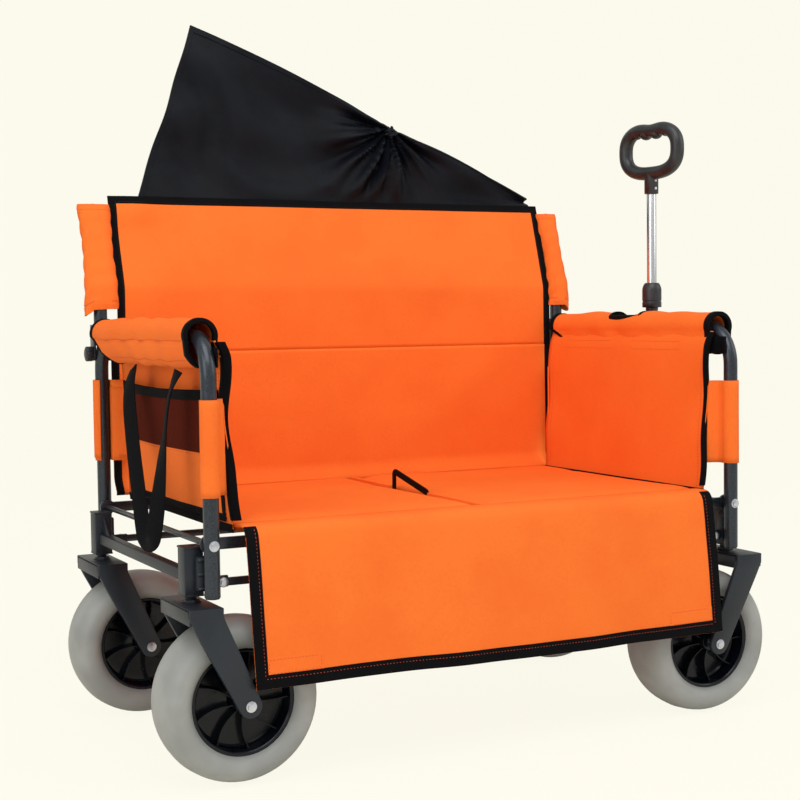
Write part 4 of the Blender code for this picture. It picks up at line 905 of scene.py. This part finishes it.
arm_size = (0.17, 0.4)
notch_low, notch_high = -0.03, 0.045
for end, x in ends:
    shape = arm_shape(x)
    sleeve = draped(60, 90, arm_size, shape)
    bmesh.ops.remove_doubles(sleeve, verts=sleeve.verts, dist=1e-5)
    if x > 0:
        gone = [f for f in sleeve.faces if f.calc_center_median().x > 0.3675
            and notch_low < f.calc_center_median().y < notch_high]
        bmesh.ops.delete(sleeve, geom=gone, context="FACES")
    arm = piece(end + "_padded_armrest", sleeve, orange_cloth, end + "_end", end + "_armrest", thick=0.0032,
        crease=50)
    mouths = trims(arm_size, shape, (60, 2, 0, 1, -0.006, 0.018), (60, 2, 0, 1, 0.98, 1.006))
    if x > 0:
        for y in (notch_low, notch_high):
            v = (y - arm_front) / (arm_back(0.54) - arm_front)
            wedge = draped(30, 2, arm_size, shape, (0.02, 0.56, v - 0.007, v + 0.007))
            gone = [f for f in wedge.faces if f.calc_center_median().x < 0.366]
            bmesh.ops.delete(wedge, geom=gone, context="FACES")
            mouths.append(wedge)
        mouths.append(bar((0.3655, notch_low - 0.001, 0.5455), (0.3695, notch_high + 0.001, 0.5495), 0.0012))
    piece(end + "_armrest_binding", mouths, binding, end + "_end", thick=0.0056, bevel=0.0012)
    lines = [stitched(shape, [(u0, 0.02), (u0, 0.98)], 0.0018, arm_size) for u0 in (0.78, 0.94)]
    piece(end + "_armrest_seams", lines, orange_thread, end + "_end")


# Mesh pocket: black net over plain cloth on the outside of the left-hand end wall, sagging open at its
# mouth. Black tape edges it all round, and it is sewn to the wall along its bottom and ends.
net = Finish("black_net", 0.9, Specular_IOR_Level=0.05)
net_u, net_v, _ = net.axis(net.node("UVMap", {"uv_map": "metres"}))
net_pitch = 0.003
across_net = (net_u / net_pitch).ping(0.5)
along_net = (net_v / net_pitch + (net_u / net_pitch) * 0.5).ping(0.5)
threads = (across_net.below(0.17) + along_net.below(0.17)).above(0.5)
net.colour(net.noise(300), (0.07, 0.0085, 0.0035), (0.105, 0.013, 0.005))
net.feed(net.skin.inputs["Alpha"], threads * 0.12 + 0.86)
pocket_low, pocket_high, pocket_half = 0.312, 0.47, 0.19
pocket_size = (2 * pocket_half, pocket_high - pocket_low)


def pocket_shape(u, v):
    y, z = -pocket_half + 2 * pocket_half * u, pocket_low + (pocket_high - pocket_low) * v
    stands = 0.0024 + 0.013 * sin(pi * u) ** 0.7 * sin(pi * min(1.0, 0.12 + v) / 2)
    sag = 0.0012 * sin(pi * u) * waver(y * 14, z * 16, 5.0)
    return -(wall_line(z) + stands + sag), y, z - 0.004 * sin(pi * u) * v ** 3


piece("net_pocket", draped(60, 16, pocket_size, pocket_shape, (0, 1, 0.49, 1)), net, "left_end",
    "left_mesh_pocket", thick=0.001)
piece("net_pocket_foot", draped(60, 16, pocket_size, pocket_shape, (0, 1, 0, 0.5)), orange_cloth,
    "left_end", thick=0.0016)
edges = trims(pocket_size, pocket_shape, (3, 26, 0, 0.022, 0, 1), (3, 26, 0.978, 1, 0, 1),
    (60, 3, 0, 1, 0, 0.06), (60, 3, 0, 1, 0.915, 1))
piece("net_pocket_tape", edges, binding, "left_end", thick=0.0028, bevel=0.0006)
piece("net_pocket_stitches", stitched(pocket_shape, [(0.02, 0.485), (0.98, 0.485)], 0.0009, pocket_size),
    orange_thread, "left_end")


# Carry loop: one length of black webbing sewn under the left-hand armrest at both ends. It hangs down
# outside the end wall to the axle, and its rear strand has turned over once.
loop_points = [(-0.383, 0.06, 0.4915), (-0.394, 0.046, 0.46), (-0.4, 0.016, 0.4), (-0.4045, -0.022, 0.33),
    (-0.407, -0.046, 0.288), (-0.4085, -0.068, 0.2765), (-0.4075, -0.088, 0.288), (-0.405, -0.101, 0.33),
    (-0.4, -0.112, 0.4), (-0.394, -0.119, 0.46), (-0.383, -0.124, 0.4915)]
loop_turns = [(0, 4), (0.14, 28), (0.42, 34), (0.5, 0), (0.58, -34), (0.7, -30), (0.82, 10), (0.92, 14),
    (1, -4)]
smooth_run = []
for i in range(len(loop_points) - 1):
    p0, p1, p2, p3 = [Vector(loop_points[min(max(i + k, 0), len(loop_points) - 1)]) for k in (-1, 0, 1, 2)]
    for step in range(8):
        t = step / 8
        smooth_run.append(0.5 * (2 * p1 + (p2 - p0) * t + (2 * p0 - 5 * p1 + 4 * p2 - p3) * t * t
            + (3 * p1 - p0 - 3 * p2 + p3) * t ** 3))
smooth_run.append(Vector(loop_points[-1]))
twists = []
for i in range(len(smooth_run)):
    share = i / (len(smooth_run) - 1)
    for (s0, a0), (s1, a1) in zip(loop_turns, loop_turns[1:]):
        if s0 <= share <= s1:
            twist = radians(a0 + (a1 - a0) * (share - s0) / (s1 - s0))
    twists.append(twist)
half, t = 0.0123, 0.0008
loop = swept(smooth_run, [(half, 0), (half - t, t), (0, t), (-half + t, t), (-half, 0), (-half + t, -t),
    (0, -t), (half - t, -t)], up=(-1, 0, 0), turns=twists, pitch=0.0062)
piece("webbing_carry_loop", loop, webbing, "left_end", "left_carry_loop", crease=60)


# Uprights and their hinges: bent tubes that stand in sockets on the rear posts. A knob screws through
# each pair of cheeks, so that the backrest can be let down.
bend_z, bend_r, lean, top_z = 0.6, 0.08, radians(17), 0.716
hinge_z, socket_low, socket_high = 0.507, 0.53, 0.548


def upright_line(z):
    """Where an upright's middle lies at a height: straight, then its bend, then leaning back."""
    reach = bend_r * tan(lean / 2)
    along = z - bend_z + reach
    if along <= 0:
        return post_y
    if along < reach * (1 + cos(lean)):
        return post_y + bend_r - sqrt(bend_r ** 2 - along ** 2)
    return post_y + (z - bend_z) * tan(lean)


for end, x in ends:
    route = [(x * post_x, upright_line(z), z) for z in [socket_high + (top_z - socket_high) * i / 40
        for i in range(41)]]
    tube = [swept(route, ring(post_r, 32), up=(1, 0, 0)),
        shaft(0.0088, route[-1], Vector(route[-1]) + Vector((0, 0.0006, 0.002)), 28, 0.0008)]
    piece(end + "_bent_upright", tube, hammered, end + "_upright", end + "_upright_tube")
    hinge = []
    for s in (-1, 1):
        rim = arc((post_y, hinge_z), 0.01, 180, 360, 16)
        at = Matrix.Translation((x * post_x + s * 0.0113, 0, 0)) @ side_face
        hinge.append(plate(rim + [(post_y + 0.01, socket_high), (post_y - 0.01, socket_high)], 0.003, at,
            0.0007))
    hinge.append(shaft(0.0128, (x * post_x, post_y, socket_low), (x * post_x, post_y, socket_high), 32,
        0.0012))
    piece(end + "_hinge_bracket", hinge, hammered, end + "_upright", end + "_back_hinge")
    knob_in, knob_out = x * 0.3931, x * 0.4031
    star = []
    for i in range(96):
        a = 2 * pi * i / 96
        radius = 0.0105 - 0.0011 * (0.5 - 0.5 * cos(12 * a)) ** 2
        star.append((post_y + radius * cos(a), hinge_z + radius * sin(a)))
    knob = [plate(star, 0.0088, Matrix.Translation(((knob_in + knob_out) / 2 - x * 0.0004, 0, 0))
        @ side_face, 0.0009)]
    knob.append(shaft(0.0072, (knob_out - x * 0.001, post_y, hinge_z), (knob_out, post_y, hinge_z), 32,
        0.0004))
    knob.append(shaft(0.003, (knob_in - x * 0.0245, post_y, hinge_z),
        (knob_in + x * 0.002, post_y, hinge_z), 20))
    piece(end + "_ribbed_knob", knob, pedal_black, end + "_upright", end + "_back_knob")


# Backrest cloth: a lower panel fixed to the rear posts and an upper one that leans back with the
# uprights, in the same orange cloth with black tape round the edges. Loose sleeves hold the uprights.
back_foot, back_crest, back_half = 0.313, 0.7325, 0.3669


def back_line(z):
    share = min(1.0, max(0.0, (z - back_foot) / (bend_z - back_foot)))
    return 0.2175 + 0.003 * share + max(0.0, z - bend_z) * tan(lean)


def back_shape(left, right, low, high):
    def shape(u, v):
        x, z = left + (right - left) * u, low + (high - low) * v
        wide = max(0.0, cos(pi / 2 * x / back_half))
        belly = 0.0035 * wide * sin(pi * (z - back_foot) / (back_crest - back_foot))
        soft = wide ** 0.5
        belly += 0.0034 * waver(x * 5, z * 8, 7.0) * soft
        belly += 0.0016 * waver(x * 16, z * 20, 9.0) * soft
        if high > 0.6:
            corner = exp(-((x + 0.318) / 0.026) ** 2 - ((z - 0.712) / 0.02) ** 2)
            belly -= 0.0075 * corner
            belly += 0.002 * sin(30 * x + 46 * z) * exp(-((x + 0.33) / 0.09) ** 2) * v
        foot = max(0.0, min(1.0, (0.332 - z) / 0.02))
        return x, back_line(z) + belly * (1 - foot) - 0.0112 * foot ** 1.6, z
    return shape


backs = (("lower_back", "left_end", -back_half, back_half, 0.306, 0.507),
    ("upper_back", "left_upright", -0.356, 0.366, 0.5068, back_crest))
for name, body, left, right, low, high in backs:
    shape = back_shape(left, right, low, high)
    size = (right - left, (high - low) * (1.03 if high > 0.6 else 1.0))
    panel = piece(name + "_panel", draped(120, 40, size, shape), orange_cloth, body, name + "_cloth",
        thick=cloth_t)
    wide, tall = 0.0115 / size[0], 0.0115 / size[1]
    strips = trims(size, shape, (3, 40, 0, wide, 0, 1), (3, 40, 1 - wide, 1, 0, 1))
    if high > 0.6:
        strips += trims(size, shape, (120, 3, 0, 1, 1 - tall, 1))
    tape = piece(name + "_binding", strips, binding, body, thick=tape_t, bevel=0.0008)
    near, far = wide * 0.78, 1 - tall * 0.78
    seams = [[(near, 1 - far), (near, far)], [(1 - near, far), (1 - near, 1 - far)]]
    if high > 0.6:
        seams.append([(near, far), (1 - near, far)])
    marks = piece(name + "_stitches", joined(*[stitched(shape, seam, tape_t / 2 - 0.0001, size)
        for seam in seams]), black_thread, body)
    [end + "_bent_end_tube" for end, x in ends]
    size[0] * size[1] * 0.999
    for obj in (panel, tape, marks):
        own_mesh(obj)

sleeve_low, sleeve_high = 0.57, 0.7195
for end, x in ends:
    inside = 0.3556 if x < 0 else 0.3656
    half_x, middle = (0.4005 - inside) / 2, x * (0.4005 + inside) / 2

    def sleeve_shape(u, v):
        z = sleeve_low + (sleeve_high - sleeve_low) * v
        a = 2 * pi * u
        half_y = 0.0112 + 0.0008 * sin(3.2 * v + x)
        wide = half_x * (1 - 0.1 * v * (cos(a) * x > 0)) * (1 + 0.05 * sin(7 * v + 1.0))
        px = copysign(wide - half_y, cos(a)) + half_y * cos(a)
        crease = 0.0009 * sin(38 * v + 4 * sin(a)) + 0.0014 * waver(u * 5, v * 4, 11.0 + x)
        drop = 0.01 * max(0.0, -cos(a) * -x) * (1 - v) ** 6
        return middle + px + crease, upright_line(z) + half_y * 1.06 * sin(a) + crease * 0.6, z - drop

    sleeve_size = (0.135, sleeve_high - sleeve_low)
    body = end + "_upright"
    tube = draped(56, 30, sleeve_size, sleeve_shape)
    bmesh.ops.remove_doubles(tube, verts=tube.verts, dist=1e-5)
    piece(end + "_back_sleeve", tube, orange_cloth, body, thick=cloth_t)
    hems = trims(sleeve_size, sleeve_shape, (56, 2, 0, 1, 0, 0.055), (56, 2, 0, 1, 0.945, 1))
    piece(end + "_sleeve_hems", hems, orange_cloth, body, thick=0.0026, bevel=0.0006)
    mark = stitched(sleeve_shape, [(0.0, 0.075), (0.999, 0.075)], 0.0009, sleeve_size)
    piece(end + "_sleeve_stitches", mark, orange_thread, body)


# Black cover: a hood of satin cloth gathered over the top of the backrest. It rises to a blunt peak on
# the left, is drawn into a knot right of the middle, and falls to the panel's right-hand end.
satin = Finish("black_satin_cloth", 0.32, Specular_IOR_Level=0.12)
satin_u, satin_v, _ = satin.axis(satin.node("UVMap", {"uv_map": "metres"}))
sheer = satin.noise(16, 4.0)
satin.colour(sheer.between(0.3, 0.7), (0.0022, 0.0028, 0.005), (0.005, 0.0062, 0.01))
satin.rough(0.24 + 0.16 * sheer)
satin.raised((satin_u * 3900.0).wave() * (satin_v * 3900.0).wave() * 0.3 + satin.noise(90, 4.0) * 1.2,
    0.00035)
peak, knot_at = Vector((-0.22, 0.275, 0.9875)), Vector((0.104, 0.275, 0.849))
crest_y = back_line(back_crest)


def cover_top(u):
    if u <= 0.56:
        share = u / 0.56
        return peak.lerp(knot_at, share) + Vector((0, 0, 0.009 * sin(pi * share)))
    share = (u - 0.56) / 0.44
    end = Vector((0.352, crest_y + 0.003, 0.7441))
    return knot_at.lerp(end, share) + Vector((0, 0, 0.006 * sin(pi * share)))


def cover_shape(u, v):
    spot = Vector((-0.31 + 0.662 * u, crest_y, 0.731)).lerp(cover_top(u), v)
    fold = (0.008 * sin(9.5 * u - 2.2 * v) + 0.006 * sin(17.0 * u + 4.0 * v)) * sin(pi * min(1, v))
    knot = 0.01 * hump(u, 0.56, 0.05) * v * (1 - 0.4 * v)
    pulled = spot - knot_at
    spread, reach = atan2(pulled.z, pulled.x), hypot(pulled.x, pulled.z)
    rays = sin(15 * spread + 2.5 * sin(3 * spread)) * hump(reach, 0.055, 0.085)
    fine = sin(31 * spread + 9 * reach) * hump(reach, 0.035, 0.05)
    long_fold = (sin(45 * (spot.x + 0.75 * spot.z)) + sin(54.4 * (spot.x * 0.8 + spot.z) + 1.0)) / 2
    free = sin(pi * min(1.0, v * 0.97 + 0.03)) ** 0.6
    hang = sin(64 * (spot.x + 0.22 * (spot.z - 0.73)) + 1.2) * hump(u, 0.1, 0.16) * (1 - 0.55 * v)
    swag = sin(50 * (spot.z - 0.75) - 81 * (spot.x + 0.1) ** 2) * hump(u, 0.42, 0.2)
    ripple = (0.005 * rays + 0.0026 * fine + 0.0024 * long_fold * free
        + 0.0042 * noise.noise(spot * 15) * free + 0.0042 * hang * free + 0.0034 * swag * free)
    return spot + Vector((0, fold - knot + 1.5 * ripple * min(1.0, v * 6), 0))


cover_size = (0.67, 0.2)
cover = piece("gathered_black_cover", draped(190, 76, cover_size, cover_shape), satin, "left_upright",
    "black_cover", thick=0.0012)
knot_lumps = []
for i in range(7):
    lump = bmesh.new()
    bmesh.ops.create_uvsphere(lump, u_segments=20, v_segments=12, radius=0.5)
    a = 2 * pi * i / 7
    bmesh.ops.scale(lump, vec=(0.017, 0.01, 0.0062), verts=lump.verts)
    knot_lumps.append(moved(rotated(lump, a * 1.7, "Y"),
        (knot_at.x + 0.0042 * cos(a), 0.2655 + 0.0012 * sin(2 * a), 0.842 + 0.004 * sin(a))))
knot = piece("black_cover_knot", knot_lumps, satin, "left_upright", crease=80)
hems = trims(cover_size, cover_shape, (190, 2, 0, 1, 0.965, 1), (2, 76, 0, 0.012, 0, 1))
hem = piece("black_cover_hem", hems, satin, "left_upright", thick=0.003, bevel=0.0008)
for obj in (cover, knot, hem):
    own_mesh(obj)


# Pull strap: black webbing that comes up through the gap between the seat boards and arches from front
# to back, for lifting the middle when the wagon is folded.
strap_run = rounded_route([(0, -0.0415, 0.2985), (0, -0.0415, 0.3105), (0, 0.0605, 0.3322),
    (0, 0.0605, 0.2985)], 0.0052, 8)
strap = swept(strap_run, [(0.0012, -0.0042), (0.0012, 0.0042), (0.0008, 0.0045), (-0.0008, 0.0045),
    (-0.0012, 0.0042), (-0.0012, -0.0042), (-0.0008, -0.0045), (0.0008, -0.0045)], up=(0, 1, 0))
piece("webbing_pull_strap", strap, webbing, "centre", "seat_pull_strap")


# Handle: a bracket on the right-hand axle tube carries a hammered outer tube. A bright steel rod slides
# in it through a black collar, with a moulded ring grip on top and a clip that parks it by the armrest.
steel = Finish("bright_steel_rod", 0.22, 1.0)
brushed = steel.node("Mapping", None, {"Vector": steel.place, "Scale": (1, 1, 0.02)})
streaks = steel.noise(1500, 2.0, place=brushed)
steel.colour(streaks, (0.72, 0.73, 0.75), (0.56, 0.57, 0.6))
steel.rough(0.18 + 0.14 * streaks)
black_grip = Finish("black_grip_moulding", 0.42, Coat_Weight=0.12, Coat_Roughness=0.3)
black_grip.colour(black_grip.noise(50, 4.0).between(0.4, 0.7), (0.009, 0.01, 0.012), (0.02, 0.021, 0.024))
black_grip.raised(black_grip.noise(1300), 0.00006)

pull_x, pivot_x, pivot_z = 0.41, 0.4225, 0.262


def around_rod(outline):
    """An outline of (radius, height) spun round the sliding rod."""
    return moved(rotated(spun(outline, 40, (0, 0, 0)), radians(90), "X"), (pull_x, 0, 0))


bracket = [bar((0.4023, -0.0145, 0.243), (0.4045, 0.0145, 0.275), 0.0006)]
bracket += [bar((0.4025, s * 0.014, 0.243), (0.4343, s * 0.017, 0.275), 0.0011) for s in (-1, 1)]
piece("handle_hinge_bracket", bracket, pedal_black, "right_end", "handle_bracket")
bolt = [shaft(0.0035, (pivot_x, -0.0172, pivot_z), (pivot_x, 0.0172, pivot_z), 24)]
for s in (-1, 1):
    bolt += hex_bolt((pivot_x, s * 0.0169, pivot_z), s, 0.0052, 0.0034)
piece("handle_hinge_bolt", bolt, zinc, "right_end")

lug = [bar((0.409, -0.0136, 0.254), (0.431, 0.0136, 0.284), 0.0022),
    swept([(pull_x, 0, 0.278 + 0.302 * i / 6) for i in range(7)], ring(0.009, 32), up=(0, 1, 0)),
    shaft(0.0094, (pull_x, 0, 0.559), (pull_x, 0, 0.563), 32, 0.0004)]
piece("handle_outer_tube", lug, hammered, "handle", "handle_tube")
collar = around_rod([(0.0093, 0.563), (0.0138, 0.563), (0.0145, 0.564), (0.0145, 0.5705), (0.0139, 0.5712),
    (0.0139, 0.5728), (0.0145, 0.5735), (0.0145, 0.5895), (0.0141, 0.5925), (0.0122, 0.5975), (0.01, 0.6),
    (0.0075, 0.6), (0.0075, 0.5805), (0.0093, 0.5803)])
piece("black_rod_collar", collar, black_grip, "handle", "handle_collar")
rod = shaft(0.0072, (pull_x, 0, 0.395), (pull_x, 0, 0.753), 40, 0.0006)
piece("bright_sliding_rod", rod, steel, "handle_rod", "handle_inner_rod")

grip_z, grip_turn = 0.7985, radians(11)
loop_route = []
for i in range(96):
    a = 2 * pi * i / 96
    across = copysign(abs(cos(a)) ** 0.72, cos(a)) * 0.05195
    high = copysign(abs(sin(a)) ** 0.78, sin(a)) * 0.0335
    dip = 0.004 * hump(across, 0, 0.018) if sin(a) > 0 else 0.0
    loop_route.append(Vector((pull_x - across * sin(grip_turn), across * cos(grip_turn),
        grip_z + high - dip)))
grip_ring = swept(loop_route, [(a * 0.94, b) for a, b in ring(0.0106, 28)], closed=True, up=(1, 0, 0))
finger_bumps = []
for a in (-0.03, -0.01, 0.01, 0.03):
    bump = bmesh.new()
    bmesh.ops.create_uvsphere(bump, u_segments=24, v_segments=14, radius=0.0099)
    bmesh.ops.scale(bump, vec=(0.98, 0.95, 0.8), verts=bump.verts)
    finger_bumps.append(moved(bump, (pull_x - a * sin(grip_turn), a * cos(grip_turn),
        grip_z + 0.0272 - 0.0035 * hump(a, 0, 0.018))))
neck = around_rod([(0.0075, 0.734), (0.0098, 0.734), (0.0105, 0.7347), (0.0105, 0.76), (0.0112, 0.7655),
    (0.0075, 0.7655)])
piece("moulded_ring_grip", [grip_ring, neck, *finger_bumps], black_grip, "handle_rod", "handle_grip",
    crease=55)
screws = []
for z in (0.7415, 0.7535):
    screws.append(shaft(0.0021, (pull_x, -0.01, z), (pull_x, -0.0113, z), 24, 0.0003))
    screws.append(bar((pull_x - 0.0015, -0.0114, z - 0.0003), (pull_x + 0.0015, -0.0112, z + 0.0003), 0))
piece("grip_neck_screws", screws, zinc, "handle_rod")

clip = [swept([(a, b, arm_z) for a, b in arc((pull_x, 0), 0.0107, 70, 290, 20)],
    [(0.012, -0.0012), (0.012, 0.0012), (-0.012, 0.0012), (-0.012, -0.0012)])]
clip.append(bar((0.3835, -0.0168, 0.5235), (0.3995, 0.0168, 0.5465), 0.002))
piece("handle_parking_clip", clip, black_grip, "right_end", "handle_clip")

low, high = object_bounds()
{"cad_low": list(cad_low), "cad_high": list(cad_high), "low": list(low), "high": list(high)}
